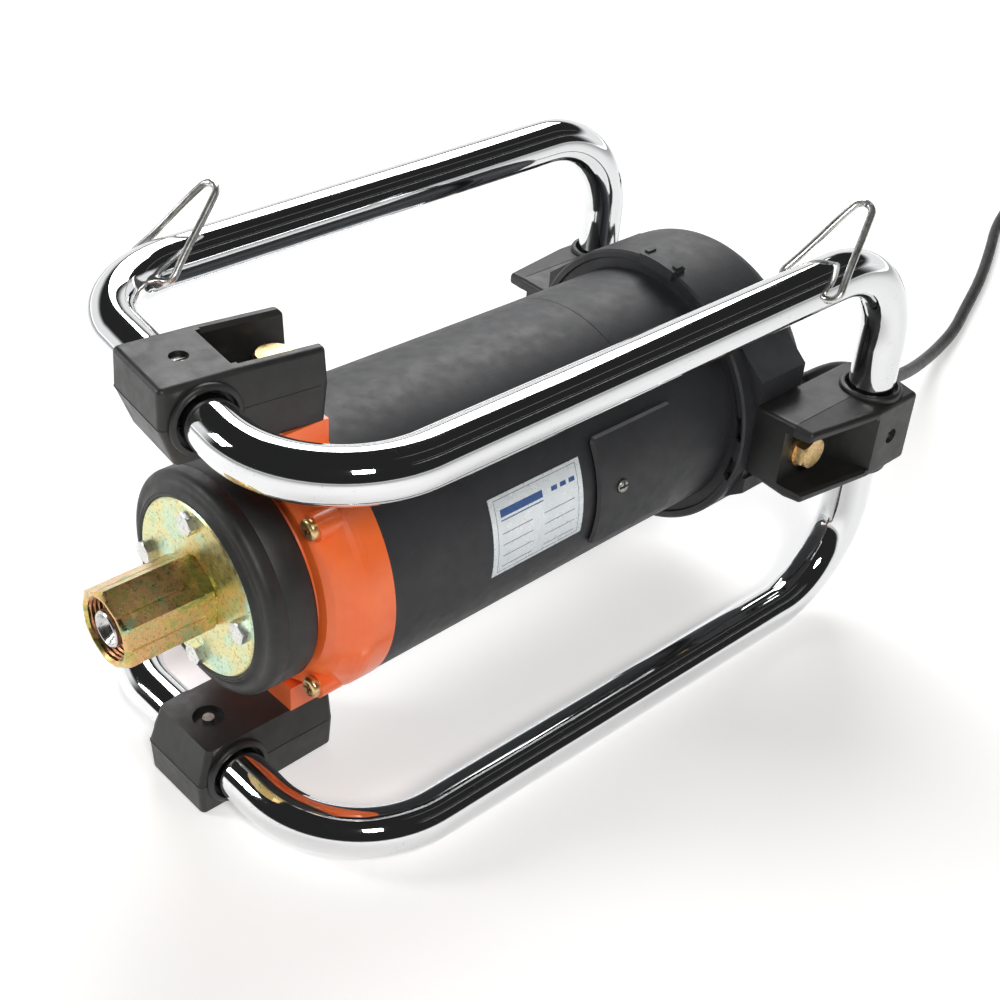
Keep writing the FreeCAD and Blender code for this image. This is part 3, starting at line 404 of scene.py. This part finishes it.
def ink(name, dark, light):
    look = Look(name)
    look.feed(Base_Color=look.ramp(look.noise(700, 3), (0.3, dark), (0.7, light)), Roughness=0.4)
    look.bump(look.noise(1400, 2), 0.00001)
    return look.material


def wound_copper():
    look = Look("enamelled_copper", Metallic=0.7)
    waves = {"Vector": look.place, "Scale": 520.0, "Distortion": 1.2, "Detail": 2.0, "Detail Scale": 1.5}
    strands = look.node("ShaderNodeTexWave", waves, bands_direction="DIAGONAL")
    colour = look.ramp(strands.outputs["Fac"], (0.0, (0.22, 0.06, 0.02)), (0.6, (0.72, 0.27, 0.10)),
                       (1.0, (0.86, 0.42, 0.18)))
    look.feed(Base_Color=colour, Roughness=look.ramp(look.noise(400, 3), (0.3, 0.25), (0.7, 0.45)))
    look.bump(strands.outputs["Fac"], 0.0003)
    return look.material


def laminations():
    look = Look("laminated_core", Metallic=0.9)
    sheets = look.node("ShaderNodeTexWave", {"Vector": look.place, "Scale": 320.0, "Distortion": 0.1},
                       bands_direction="Y")
    colour = look.mix(look.noise(80, 4), (0.16, 0.16, 0.18), (0.34, 0.34, 0.37))
    look.feed(Base_Color=colour, Roughness=look.ramp(look.noise(500, 3), (0.3, 0.35), (0.7, 0.55)))
    look.bump(sheets.outputs["Fac"], 0.00012)
    return look.material


def turned_copper():
    return plated("commutator_copper", (
        (0.3, (0.55, 0.24, 0.12)), (0.5, (0.80, 0.42, 0.24)), (0.7, (0.62, 0.30, 0.18))), 140, (0.2, 0.4))


def pressed_carbon():
    look = Look("pressed_carbon")
    look.feed(Base_Color=look.ramp(look.noise(1200, 4), (0.3, 0.010), (0.7, 0.035)))
    look.feed(Roughness=look.ramp(look.noise(600, 3), (0.3, 0.35), (0.7, 0.6)))
    look.bump(look.noise(2000, 3), 0.00004)
    return look.material


def plain_plastic(name, low, high, rough):
    look = Look(name)
    look.feed(Base_Color=look.ramp(look.noise(90, 4), (0.3, low), (0.7, high)))
    look.feed(Roughness=look.ramp(look.noise(260, 4), (0.3, rough), (0.7, rough + 0.15)))
    look.bump(look.noise(1600, 3), 0.00004)
    return look.material


def pin_metal():
    return plated("plated_brass", (
        (0.3, (0.66, 0.58, 0.38)), (0.5, (0.82, 0.76, 0.58)), (0.7, (0.74, 0.66, 0.46))), 200, (0.18, 0.32))


def floor_paper():
    look = Look("pale_floor")
    paper = look.ramp(look.noise(3, 2), (0.3, 0.90), (0.7, 0.93))
    look.feed(Base_Color=paper, Roughness=0.7, Specular_IOR_Level=0.15, Emission_Color=paper,
              Emission_Strength=0.40)
    return look.material


# Mesh helpers

def finish_mesh(name, work, material, sharp=32.0, body="base"):
    mesh = bpy.data.meshes.new(name)
    bmesh.ops.remove_doubles(work, verts=work.verts, dist=1e-7)
    bmesh.ops.recalc_face_normals(work, faces=work.faces)
    work.to_mesh(mesh)
    work.free()
    mesh.polygons.foreach_set("use_smooth", [True] * len(mesh.polygons))
    mesh.set_sharp_from_angle(angle=math.radians(sharp))
    mesh.materials.append(material)
    piece = bpy.data.objects.new(name, mesh)
    bpy.context.scene.collection.objects.link(piece)
    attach(piece, body)
    return piece


def add_rings(work, rings, closed=False):
    """Skins a list of rings, each a list of points, and returns the rings of vertices."""
    made = [[work.verts.new(p) for p in ring] for ring in rings]
    count = len(made)
    for k in range(count if closed else count - 1):
        here, after = made[k], made[(k + 1) % count]
        for i in range(len(here)):
            j = (i + 1) % len(here)
            work.faces.new((here[i], here[j], after[j], after[i]))
    return made


def lathe(work, outline, base=None, along=None, sides=128, closed=True):
    """Adds a solid of revolution: outline holds (radius, distance along the axis) pairs."""
    base = base or Vector((0, 0, AXIS_Z))
    along = (along or Vector((0, 1, 0))).normalized()
    across = along.orthogonal().normalized()
    other = along.cross(across)
    rings = []
    for radius, reach in outline:
        ring = []
        for k in range(sides):
            t = 2 * math.pi * k / sides
            spoke = across * math.cos(t) + other * math.sin(t)
            ring.append(base + along * reach + spoke * max(radius, 1e-6))
        rings.append(ring)
    add_rings(work, rings, closed)


def path_with_bends(corners, radius, steps=28, spacing=0.012):
    """Points, directions and bend strength along straight runs joined by arcs."""
    corners = [Vector(c) for c in corners]
    radii = radius if isinstance(radius, list) else [radius] * (len(corners) - 2)
    places = []
    last = corners[0]
    for before, here, after, radius in zip(corners, corners[1:], corners[2:], radii):
        a, b = (before - here).normalized(), (after - here).normalized()
        half = math.acos(max(-1.0, min(1.0, -a.dot(b)))) / 2
        back = radius * math.tan(half)
        start, end = here + a * back, here + b * back
        centre = here + (a + b).normalized() * (radius / math.cos(half))
        run = int((start - last).length / spacing) + 1
        for k in range(run):
            places.append((last.lerp(start, k / run), (start - last).normalized(), Vector(), 0.0))
        out = start - centre
        side = (here - start).normalized()
        for k in range(steps + 1):
            t = 2 * half * k / steps
            offset = out * math.cos(t) + side * (radius * math.sin(t))
            direction = side * math.cos(t) - out.normalized() * math.sin(t)
            places.append((centre + offset, direction, -offset.normalized(), math.sin(math.pi * k / steps)))
        last = end
    run = int((corners[-1] - last).length / spacing) + 1
    for k in range(1, run + 1):
        places.append((last.lerp(corners[-1], k / run), (corners[-1] - last).normalized(), Vector(), 0.0))
    return places


def sweep(work, places, radius, sides, flatten=0.0, wrinkle=0.0):
    """Adds a round bar along a path; bends are a little flat, with wrinkles on their inside."""
    up = places[0][1].orthogonal().normalized()
    rings = []
    for index, (place, direction, inward, bent) in enumerate(places):
        up = (up - direction * up.dot(direction)).normalized()
        side = direction.cross(up)
        ring = []
        for k in range(sides):
            t = 2 * math.pi * k / sides
            spoke = up * math.cos(t) + side * math.sin(t)
            reach = radius
            if bent > 0:
                toward = spoke.dot(inward)
                reach -= radius * flatten * bent * toward * toward
                if toward > 0:
                    reach -= wrinkle * toward ** 3 * bent * (0.5 + 0.5 * math.sin(index * 1.9))
            ring.append(place + spoke * reach)
        rings.append(ring)
    made = add_rings(work, rings)
    work.faces.new(list(reversed(made[0])))
    work.faces.new(made[-1])


# Pieces

def front_leg(side):
    """Middle and direction of a tube's cross leg, and the distances to its left and right corners."""
    if side < 0:
        return Vector((0, FRONT_Y, AXIS_Z - FRONT_REACH)), Vector((1, 0, 0)), RUN_X, RUN_X
    c, s = math.cos(TOP_LEG_TURN), math.sin(TOP_LEG_TURN)
    middle = Vector((FRONT_BOLT * s, FRONT_Y + FRONT_BOLT - FRONT_BOLT * c, AXIS_Z + FRONT_REACH))
    return middle, Vector((c, s, 0)), TOP_LEFT, TOP_RIGHT


def run_point(side, x_side, y):
    """Point on the straight run of a tube, left (-1) or right (1) of the axis."""
    middle, along, left, right = front_leg(side)
    corner = middle - along * left if x_side < 0 else middle + along * right
    rear = Vector((x_side * RUN_X, LEG_Y, AXIS_Z + side * REAR_REACH))
    return corner.lerp(rear, (y - corner.y) / (rear.y - corner.y))


def make_tube(side, name, node, material):
    middle, along, left, right = front_leg(side)
    end = AXIS_Z + side * 0.0003
    corners = [(-RUN_X, LEG_Y, end), run_point(side, -1, LEG_Y), middle - along * left,
               middle + along * right, run_point(side, 1, LEG_Y), (RUN_X, LEG_Y, end)]
    work = bmesh.new()
    sweep(work, path_with_bends(corners, BEND), TUBE_RADIUS, 72, 0.035, 0.00012)
    piece = finish_mesh(name, work, material)
    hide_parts(node)


def make_bail(name, node, body, hub, material):
    """Bent wire: two hooks in the holes of the tube and two slightly bowed legs up to a narrow tip."""
    half, pin, height, foot, tip = 0.0189, 0.0095, 0.067, 0.005, 0.0054
    lean = Matrix.Rotation(BAIL_LEAN, 3, "X")
    corners = [(-pin, 0, 0), (-half, 0, 0), (0, 0, height), (half, 0, 0), (pin, 0, 0)]
    places = path_with_bends(corners, [foot, tip, foot], 12, 0.004)
    bent = []
    for place, direction, inward, _ in places:
        bow = 0.0007 * math.sin(place.z / height * 7.0) * (1 if place.x < 0 else -0.6)
        place = hub + lean @ (place + Vector((0, bow, 0)))
        bent.append((place, lean @ direction, lean @ inward, 0.0))
    work = bmesh.new()
    sweep(work, bent, WIRE_RADIUS, 20)
    piece = finish_mesh(name, work, material, 60, body)
    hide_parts(node)


def make_isolator_ring(material):
    """Rubber ring with a raised lip round the plate, fine mould rings and a round outer edge."""
    front, rear = RING_FRONT, RING_REAR
    plate_edge = 0.0448
    lip = [(0.0270, PLATE_BACK + 0.00002), (plate_edge, PLATE_BACK + 0.00002),
           (plate_edge, front - 0.0019), (0.0456, front - 0.0023), (0.0464, front - 0.0018),
           (0.0469, front - 0.0021), (0.0477, front - 0.0014), (0.0482, front - 0.0007),
           (0.0490, front - 0.0003), (0.0496, front)]
    face = [(0.0505, front + 0.0002), (0.0514, front), (0.0520, front)]
    edge = []
    for k in range(9):
        t = math.radians(90 * k / 8)
        edge.append((0.0517 + 0.0045 * math.sin(t), front + 0.0045 - 0.0045 * math.cos(t)))
    side = [(0.0562, front + 0.009), (0.05600, front + 0.0093), (0.0562, front + 0.0096)]
    side += [(0.0562, front + 0.0160), (0.0562, rear - 0.0025), (0.0555, rear - 0.0008), (0.0537, rear)]
    work = bmesh.new()
    lathe(work, lip + face + edge[1:] + side + [(0.0270, rear)], sides=180)
    piece = finish_mesh("rubber_isolator", work, material, 50)
    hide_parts("isolator_ring")


def hex_ring(y, flat, notch):
    """Cross-section of the coupling: flats, each with a machined double line beside its middle."""
    ring = []
    corner = flat / math.cos(math.radians(30))
    for k in range(6):
        a, b = math.radians(90 + 60 * k), math.radians(150 + 60 * k)
        start = Vector((corner * math.cos(a), 0, corner * math.sin(a)))
        end = Vector((corner * math.cos(b), 0, corner * math.sin(b)))
        inward = -(start + end).normalized()
        line = LINE_PLACES[k]
        for t, depth in (
                (0.0, 0.0), (0.02, 0.0), (line - 0.016, 0.0), (line - 0.008, notch), (line, notch),
                (line + 0.008, 0.0), (line + 0.022, 0.0), (line + 0.030, notch * 0.6),
                (line + 0.038, notch * 0.6), (line + 0.046, 0.0), (0.80, 0.0), (0.98, 0.0)):
            ring.append(start.lerp(end, t) + inward * depth + Vector((0, y, AXIS_Z)))
    return ring


def make_coupling(material):
    """Hex coupling: chamfered prism with line marks, a collar at its root and a stepped bore."""
    start, root = HEX[0].y, PLATE_FRONT
    work = bmesh.new()
    angles = [math.atan2(p.z - AXIS_Z, p.x) for p in hex_ring(0, HEX_FLAT, 0)]

    def round_ring(radius, y):
        return [Vector((radius * math.cos(t), y, AXIS_Z + radius * math.sin(t))) for t in angles]

    def clipped(y, radius, notch=0.0):
        """Hex section held inside a circle, as the chamfer leaves it."""
        ring = []
        for p in hex_ring(y, HEX_FLAT, notch):
            spoke = Vector((p.x, 0, p.z - AXIS_Z))
            reach = min(spoke.length, radius)
            ring.append(Vector((0, y, AXIS_Z)) + spoke.normalized() * reach)
        return ring

    big = 0.0300                       # wider than the corners, so nothing is cut
    step = start + 0.0240              # where the thread's bore narrows
    collar = 0.0158
    mark = 0.00034                     # depth of the line marks
    line_start, line_end = start + 0.0030, root - 0.0066
    rings = [
        round_ring(BORE_RADIUS, root + 0.0059), round_ring(BORE_RADIUS, step),
        round_ring(THREAD_RADIUS, step), round_ring(THREAD_RADIUS, start + 0.0012),
        round_ring(0.01655, start + 0.0001), round_ring(0.0168, start),
        clipped(start, 0.0174), clipped(start + 0.0002, 0.0179), clipped(start + 0.0010, 0.0193),
        clipped(start + 0.0018, 0.0205), clipped(start + 0.0022, big), clipped(line_start, big),
        clipped(line_start + 0.0002, big, mark), clipped(line_end, big, mark),
        clipped(line_end + 0.0002, big), clipped(line_end + 0.0005, 0.0206),
        clipped(line_end + 0.0009, 0.0206), clipped(line_end + 0.0012, big),
        clipped(root - 0.0022, big), clipped(root - 0.0011, 0.0199), clipped(root, 0.0187),
        round_ring(collar, root), round_ring(collar, root + 0.0059)]
    add_rings(work, rings, closed=True)
    piece = finish_mesh("hex_coupling", work, material, 18)
    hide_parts("coupling_hex")


def make_hose_thread(material):
    """Internal thread as a helix ridge, standing in the coupling's bore."""
    start, pitch, turns, sides = HEX[0].y + 0.0018, 0.0021, 9, 72
    root, crest = THREAD_RADIUS - 0.00002, 0.0146
    places = []
    for k in range(turns * sides + 1):
        places.append((2 * math.pi * k / sides, start + pitch * k / sides))
    work = bmesh.new()
    rows = []
    for t, y in places:
        row = []
        for radius, shift in ((root, -0.00085), (crest, -0.0001), (crest, 0.0001), (root, 0.00085)):
            row.append(work.verts.new((radius * math.cos(t), y + shift, AXIS_Z + radius * math.sin(t))))
        rows.append(row)
    for here, after in zip(rows, rows[1:]):
        for i in range(4):
            j = (i + 1) % 4
            work.faces.new((here[i], here[j], after[j], after[i]))
    work.faces.new(rows[0])
    work.faces.new(list(reversed(rows[-1])))
    piece = finish_mesh("hose_thread", work, material, 30)


def make_strain_relief(material):
    """Ribbed tapering sleeve between the gland nut and the free cord."""
    length = (RELIEF_END - RELIEF_START).length
    outline = [(CORD_RADIUS, -0.012), (0.0064, -0.012), (0.0064, -0.0002), (0.0086, 0.0), (0.0086, 0.0026)]
    ribs = 8
    for k in range(ribs):
        begin = 0.004 + (length - 0.008) * k / ribs
        width = (length - 0.008) / ribs
        radius = 0.0082 - 0.0024 * k / (ribs - 1)
        outline += [(radius - 0.0011, begin), (radius, begin + width * 0.18),
                    (radius, begin + width * 0.62), (radius - 0.0011, begin + width * 0.80)]
    outline += [(0.0056, length - 0.0035), (0.0054, length), (CORD_RADIUS, length)]
    work = bmesh.new()
    lathe(work, outline, RELIEF_START, Vector((0, 1, 0)), 64)
    piece = finish_mesh("cord_sleeve", work, material, 40)
    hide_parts("strain_relief")
    return piece


def plug_axes():
    last, before = Vector(TAIL[-1]), Vector(TAIL[-2])
    along = last - before
    along = Vector((along.x, along.y, 0)).normalized()
    return last, along


def make_plug(material):
    """Rewirable round plug: ribbed neck, waist with finger ridges and a flat face."""
    start, along = plug_axes()
    outline = [(CORD_RADIUS, 0.0), (0.0056, 0.0), (0.0062, 0.001)]
    for k in range(5):
        begin = 0.0025 + 0.0034 * k
        radius = 0.0066 + 0.0004 * k
        outline += [(radius - 0.0008, begin), (radius, begin + 0.0006), (radius, begin + 0.0022),
                    (radius - 0.0008, begin + 0.0028)]
    outline += [(0.0086, 0.0200), (0.0094, 0.0205), (0.0094, 0.0240), (0.0110, 0.0280), (0.0140, 0.0350),
                (0.0164, 0.0398), (0.0169, 0.0412), (0.0169, 0.0604), (0.0163, 0.0616), (0.0150, 0.0620)]
    outline += [(0.0110, 0.0620), (0.0108, 0.0616), (0.0, 0.0616)]
    work = bmesh.new()
    lathe(work, outline, start, along, 72, closed=False)
    for vertex in work.verts:
        reach = (vertex.co - start).dot(along)
        if 0.0300 < reach < 0.0610:
            spoke = vertex.co - start - along * reach
            t = math.atan2(spoke.z, spoke.dot(Vector((0, 0, 1)).cross(along)))
            groove = max(0.0, math.cos(12 * t)) ** 4 * 0.0007
            vertex.co -= spoke.normalized() * groove
    piece = finish_mesh("cord_plug", work, material, 40)
    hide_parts("plug_body")
    return piece


def make_tie(material):
    """Soft strap round the bundle of turns, as one closed band."""
    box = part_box("cord_tie")
    centre = (box[0] + box[1]) / 2
    half_y, half_z = (box[1].y - box[0].y) / 2 - 0.0006, (box[1].z - box[0].z) / 2 - 0.0006
    edge, bevel = 0.0079, 0.0070
    rings = []
    count = 72
    for k in range(count + 1):
        t = 2 * math.pi * k / count
        c, s = math.cos(t), math.sin(t)
        y = centre.y + half_y * math.copysign(abs(c) ** 0.32, c)
        z = centre.z + half_z * math.copysign(abs(s) ** 0.32, s)
        rings.append(Vector((centre.x, y, z)))
    work = bmesh.new()
    rows = []
    for p in rings[:-1]:
        inner = Vector((centre.x, centre.y + (p.y - centre.y) * 0.93, centre.z + (p.z - centre.z) * 0.88))
        row = []
        for place, x in ((p, -edge), (p, -bevel), (p, bevel), (p, edge), (inner, edge), (inner, -edge)):
            row.append(place + Vector((x, 0, 0)))
        rows.append(row)
    add_rings(work, rows, closed=True)
    piece = finish_mesh("cord_strap", work, material, 40)
    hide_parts("cord_tie")
    return piece


def cylinder_patch(work, y0, y1, a0, a1):
    """Thin curved patch on the housing, given by its ends along Y and its angles in degrees."""
    count = max(2, int(abs(a1 - a0)) + 1)
    taper, lift = 0.0086, 0.00002
    rows = []
    for k in range(count + 1):
        t = math.radians(a0 + (a1 - a0) * k / count)
        spoke = Vector((math.cos(t), 0, math.sin(t)))
        row = []
        for y, extra in ((y0, 0), (y1, 0), (y1, lift), (y0, lift)):
            reach = LABEL_RADIUS - taper * (y - HOUSING[0].y) + extra
            row.append(work.verts.new(Vector((0, y, AXIS_Z)) + spoke * reach))
        rows.append(row)
    for here, after in zip(rows, rows[1:]):
        for i in range(4):
            j = (i + 1) % 4
            work.faces.new((here[i], here[j], after[j], after[i]))
    work.faces.new(list(reversed(rows[0])))
    work.faces.new(rows[-1])


def make_label_print(blue, grey):
    """Generic print on the label: a blue bar with a thin rule and a plain table, no lettering."""
    y0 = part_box("label_plate")[0].y
    work = bmesh.new()
    cylinder_patch(work, y0 + 0.006, y0 + 0.034, 17.6, 20.8)
    cylinder_patch(work, y0 + 0.006, y0 + 0.034, 16.0, 16.5)
    for k in range(3):
        cylinder_patch(work, y0 + 0.040 + 0.006 * k, y0 + 0.044 + 0.006 * k, 18.2, 20.2)
    bars = finish_mesh("label_bars", work, blue, 30)
    work = bmesh.new()
    for k in range(4):
        angle = 10.5 - 5.0 * k
        cylinder_patch(work, y0 + 0.006, y0 + 0.026, angle, angle + 0.35)
        cylinder_patch(work, y0 + 0.034, y0 + 0.055, angle, angle + 0.35)
    for y in (0.0030, 0.0577):
        cylinder_patch(work, y0 + y, y0 + y + 0.0003, -6.6, 25.2)
    for angle in (-6.6, 25.0):
        cylinder_patch(work, y0 + 0.003, y0 + 0.058, angle, angle + 0.25)
    rules = finish_mesh("label_rules", work, grey, 30)


def make_mould_line(name, origin, x, y, z, tail, material):
    """Thin flash line left round a rubber block where its mould halves met."""
    end = tail - 0.004
    corners = [Vector((-BLOCK_HALF, end, 0)), Vector((-BLOCK_HALF, BLOCK_NOSE, 0)),
               Vector((BLOCK_HALF, BLOCK_NOSE, 0)), Vector((BLOCK_HALF, end, 0))]
    middle = (corners[0] + corners[2]) / 2
    rows = []
    for place, direction, _, _ in path_with_bends(corners, 0.0030, 8, 0.01):
        out = direction.cross(Vector((0, 0, 1))).normalized()
        if out.dot(place - middle) < 0:
            out = -out
        row = []
        for a, b in ((-0.0004, -0.00022), (0.00022, -0.00009), (0.00022, 0.00009), (-0.0004, 0.00022)):
            p = place + out * a + Vector((0, 0, b))
            row.append(origin + x * p.x + y * p.y + z * p.z)
        rows.append(row)
    work = bmesh.new()
    made = add_rings(work, rows)
    work.faces.new(list(reversed(made[0])))
    work.faces.new(made[-1])
    piece = finish_mesh(name, work, material, 60)


def make_mould_lines(material):
    x, y, z = Vector((1, 0, 0)), Vector((0, 1, 0)), Vector((0, 0, 1))
    middle, along, _, _ = front_leg(1)
    right, left = Vector((RUN_X, LEG_Y, AXIS_Z)), Vector((-RUN_X, LEG_Y, AXIS_Z))
    make_mould_line("front_top_mould_line", middle, along, z.cross(along), z, FRONT_TAIL, material)
    make_mould_line("front_bottom_mould_line", front_leg(-1)[0], -x, y, -z, FRONT_TAIL, material)
    make_mould_line("rear_right_mould_line", right, z, -y, x, REAR_TAIL, material)
    make_mould_line("rear_left_mould_line", left, -z, -y, -x, REAR_TAIL, material)


# Studio

def make_world():
    """White sweep behind the machine, dark room above and on the camera's side."""
    world = bpy.data.worlds.new("studio")
    world.use_nodes = True
    tree = world.node_tree
    back = tree.nodes["Background"]
    place = tree.nodes.new("ShaderNodeTexCoord").outputs["Generated"]

    def maths(operation, a, b=0.0):
        made = tree.nodes.new("ShaderNodeMath")
        made.operation = operation
        for index, value in ((0, a), (1, b)):
            if isinstance(value, bpy.types.NodeSocket):
                tree.links.new(value, made.inputs[index])
            else:
                made.inputs[index].default_value = value
        return made.outputs[0]

    def smooth(value, low, high):
        made = tree.nodes.new("ShaderNodeMapRange")
        made.interpolation_type = "SMOOTHSTEP"
        tree.links.new(value, made.inputs["Value"])
        made.inputs["From Min"].default_value = low
        made.inputs["From Max"].default_value = high
        return made.outputs["Result"]

    split = tree.nodes.new("ShaderNodeSeparateXYZ")
    tree.links.new(place, split.inputs[0])
    x, y, z = (split.outputs[k] for k in "XYZ")
    toward = maths("ADD", maths("MULTIPLY", x, -0.78), maths("MULTIPLY", y, 0.62))
    below = maths("SUBTRACT", 1.0, smooth(z, 0.26, 0.40))
    sweep_light = maths("MULTIPLY", smooth(toward, 0.05, 0.35), below)
    low_glow = maths("SUBTRACT", 1.0, smooth(z, -0.02, 0.05))
    level = maths("ADD", maths("MULTIPLY", sweep_light, 0.95), maths("MULTIPLY", low_glow, 0.85))
    turn = maths("ARCTAN2", z, x)
    for middle, width, strength in ((0.62, 0.012, 0.55), (0.74, 0.006, 0.35), (1.20, 0.020, 0.16)):
        off = maths("ABSOLUTE", maths("SUBTRACT", turn, middle))
        inside = maths("SUBTRACT", 1.0, smooth(off, width * 0.6, width))
        strip = maths("MULTIPLY", inside, smooth(y, 0.1, 0.3))
        level = maths("ADD", level, maths("MULTIPLY", strip, strength))
    level = maths("ADD", level, 0.022)
    seen = tree.nodes.new("ShaderNodeLightPath").outputs["Is Camera Ray"]
    level = maths("ADD", maths("MULTIPLY", level, maths("SUBTRACT", 1.0, seen)), seen)
    tree.links.new(level, back.inputs["Strength"])
    back.inputs["Color"].default_value = (1.0, 1.0, 1.0, 1.0)
    bpy.context.scene.world = world


def area_light(name, place, target, width, height, power, colour=(1, 1, 1)):
    data = bpy.data.lights.new(name, "AREA")
    data.shape = "RECTANGLE"
    data.size, data.size_y = width, height
    data.energy = power
    data.color = colour
    lamp = bpy.data.objects.new(name, data)
    lamp.location = place
    lamp.rotation_euler = (Vector(target) - Vector(place)).to_track_quat("-Z", "Y").to_euler()
    lamp.visible_camera = False
    bpy.context.scene.collection.objects.link(lamp)


def make_studio():
    make_world()
    area_light("back_softbox", (-1.05, 0.95, 1.45), (0, 0.05, 0.1), 1.3, 1.0, 28)
    area_light("camera_lamp", (1.15, -0.65, 1.25), (0, 0, 0.1), 0.34, 0.34, 13, (1.0, 0.97, 0.93))
    area_light("left_fill", (-1.0, -1.2, 0.9), (0, -0.1, 0.1), 0.4, 0.4, 9)
    work = bmesh.new()
    reach = 9.0
    corners = ((-reach, -reach), (reach, -reach), (reach, reach), (-reach, reach))
    work.faces.new([work.verts.new((x, y, -0.00005)) for x, y in corners])
    mesh = bpy.data.meshes.new("studio_floor")
    work.to_mesh(mesh)
    work.free()
    mesh.materials.append(floor_paper())
    floor = bpy.data.objects.new("studio_floor", mesh)
    bpy.context.scene.collection.objects.link(floor)
    bpy.context.scene.view_settings.view_transform = "Standard"
    bpy.context.scene.view_settings.look = "None"
    bpy.context.scene.view_settings.exposure = 0.0


def dress(material, *names):
    """Gives CAD nodes their material in every slot."""
    for name in names:
        node = NODES[name]
        node.data.materials.clear()
        node.data.materials.append(material)


def main():
    make_camera()
    cord_rubber = moulded_rubber("cord_rubber", 0.010, 0.45, 0.35)
    cord = make_cord(cord_rubber)

    block_rubber = moulded_rubber("block_rubber", 0.017, 0.44)
    ring_rubber = moulded_rubber("ring_rubber", 0.017, 0.50)
    housing_plastic = grained_plastic()
    chromed = chrome()
    white = white_zinc()
    dull = dull_steel()
    bright = bright_steel()
    gold_bolt = yellow_zinc_bolt()
    copper = wound_copper()
    core = laminations()
    black_gloss = plain_plastic("gloss_black_plastic", 0.012, 0.020, 0.16)
    inner_plastic = plain_plastic("inner_plastic", 0.030, 0.050, 0.42)

    make_tube(1, "upper_tube", "handle_top", chromed)
    make_tube(-1, "lower_tube", "handle_bottom", chromed)
    front_hub = run_point(1, -1, -BAIL_Y) + Vector((BAIL_FRONT_SHIFT, 0, 0))
    make_bail("front_left_wire_bail", "bail_front_left", "front_left_bail", front_hub, white)
    make_bail("rear_right_wire_bail", "bail_rear_right", "rear_right_bail", run_point(1, 1, BAIL_Y), white)
    make_isolator_ring(ring_rubber)
    make_coupling(yellow_zinc_hex())
    make_hose_thread(copper_bore())
    sleeve = make_strain_relief(cord_rubber)
    plug = make_plug(cord_rubber)
    tie = make_tie(plain_plastic("strap", 0.014, 0.024, 0.55))
    make_label_print(ink("blue_ink", (0.02, 0.07, 0.24), (0.04, 0.11, 0.32)),
                     ink("grey_ink", (0.10, 0.11, 0.13), (0.16, 0.17, 0.19)))
    make_mould_lines(block_rubber)

    dress(yellow_zinc_plate(), "flange_plate")
    dress(white, "flange_bolts")
    dress(enamel(), "front_shield")
    dress(gold_bolt, "shield_screws", "block_bolts", "block_washers")
    dress(housing_plastic, "front_housing", "rear_housing", "rear_cap", "cap_latch", "brush_cover_right",
          "brush_cover_left")
    dress(dull, "cap_screws", "brush_cover_screws", "tube_lock_screws", "handle_joint_sleeves",
          "brush_spring_right", "brush_spring_left")
    dress(bright, "rotor_shaft", "drive_socket", "front_bearing_outer", "front_bearing_inner",
          "rear_bearing_outer", "rear_bearing_inner")
    dress(core, "armature_core", "stator_core")
    dress(copper, "armature_winding_front", "armature_winding_rear", "field_coil_top", "field_coil_bottom")
    dress(turned_copper(), "commutator")
    dress(plain_plastic("fan_plastic", (0.55, 0.52, 0.42), (0.66, 0.63, 0.53), 0.4), "cooling_fan")
    dress(pressed_carbon(), "carbon_brush_right", "carbon_brush_left")
    dress(inner_plastic, "brush_holder_right", "brush_holder_left", "bearing_bracket", "gland_nut")
    dress(block_rubber, "block_front_top", "block_front_bottom", "block_rear_right", "block_rear_left")
    dress(foil(), "label_plate")
    dress(black_gloss, "switch_body", "switch_rocker")
    dress(plated("drawn_can", ((0.3, (0.60, 0.61, 0.62)), (0.7, (0.74, 0.75, 0.76))), 90), "capacitor")
    dress(pin_metal(), "plug_pins")

    length = curve_length(cord)
    make_studio()


main()
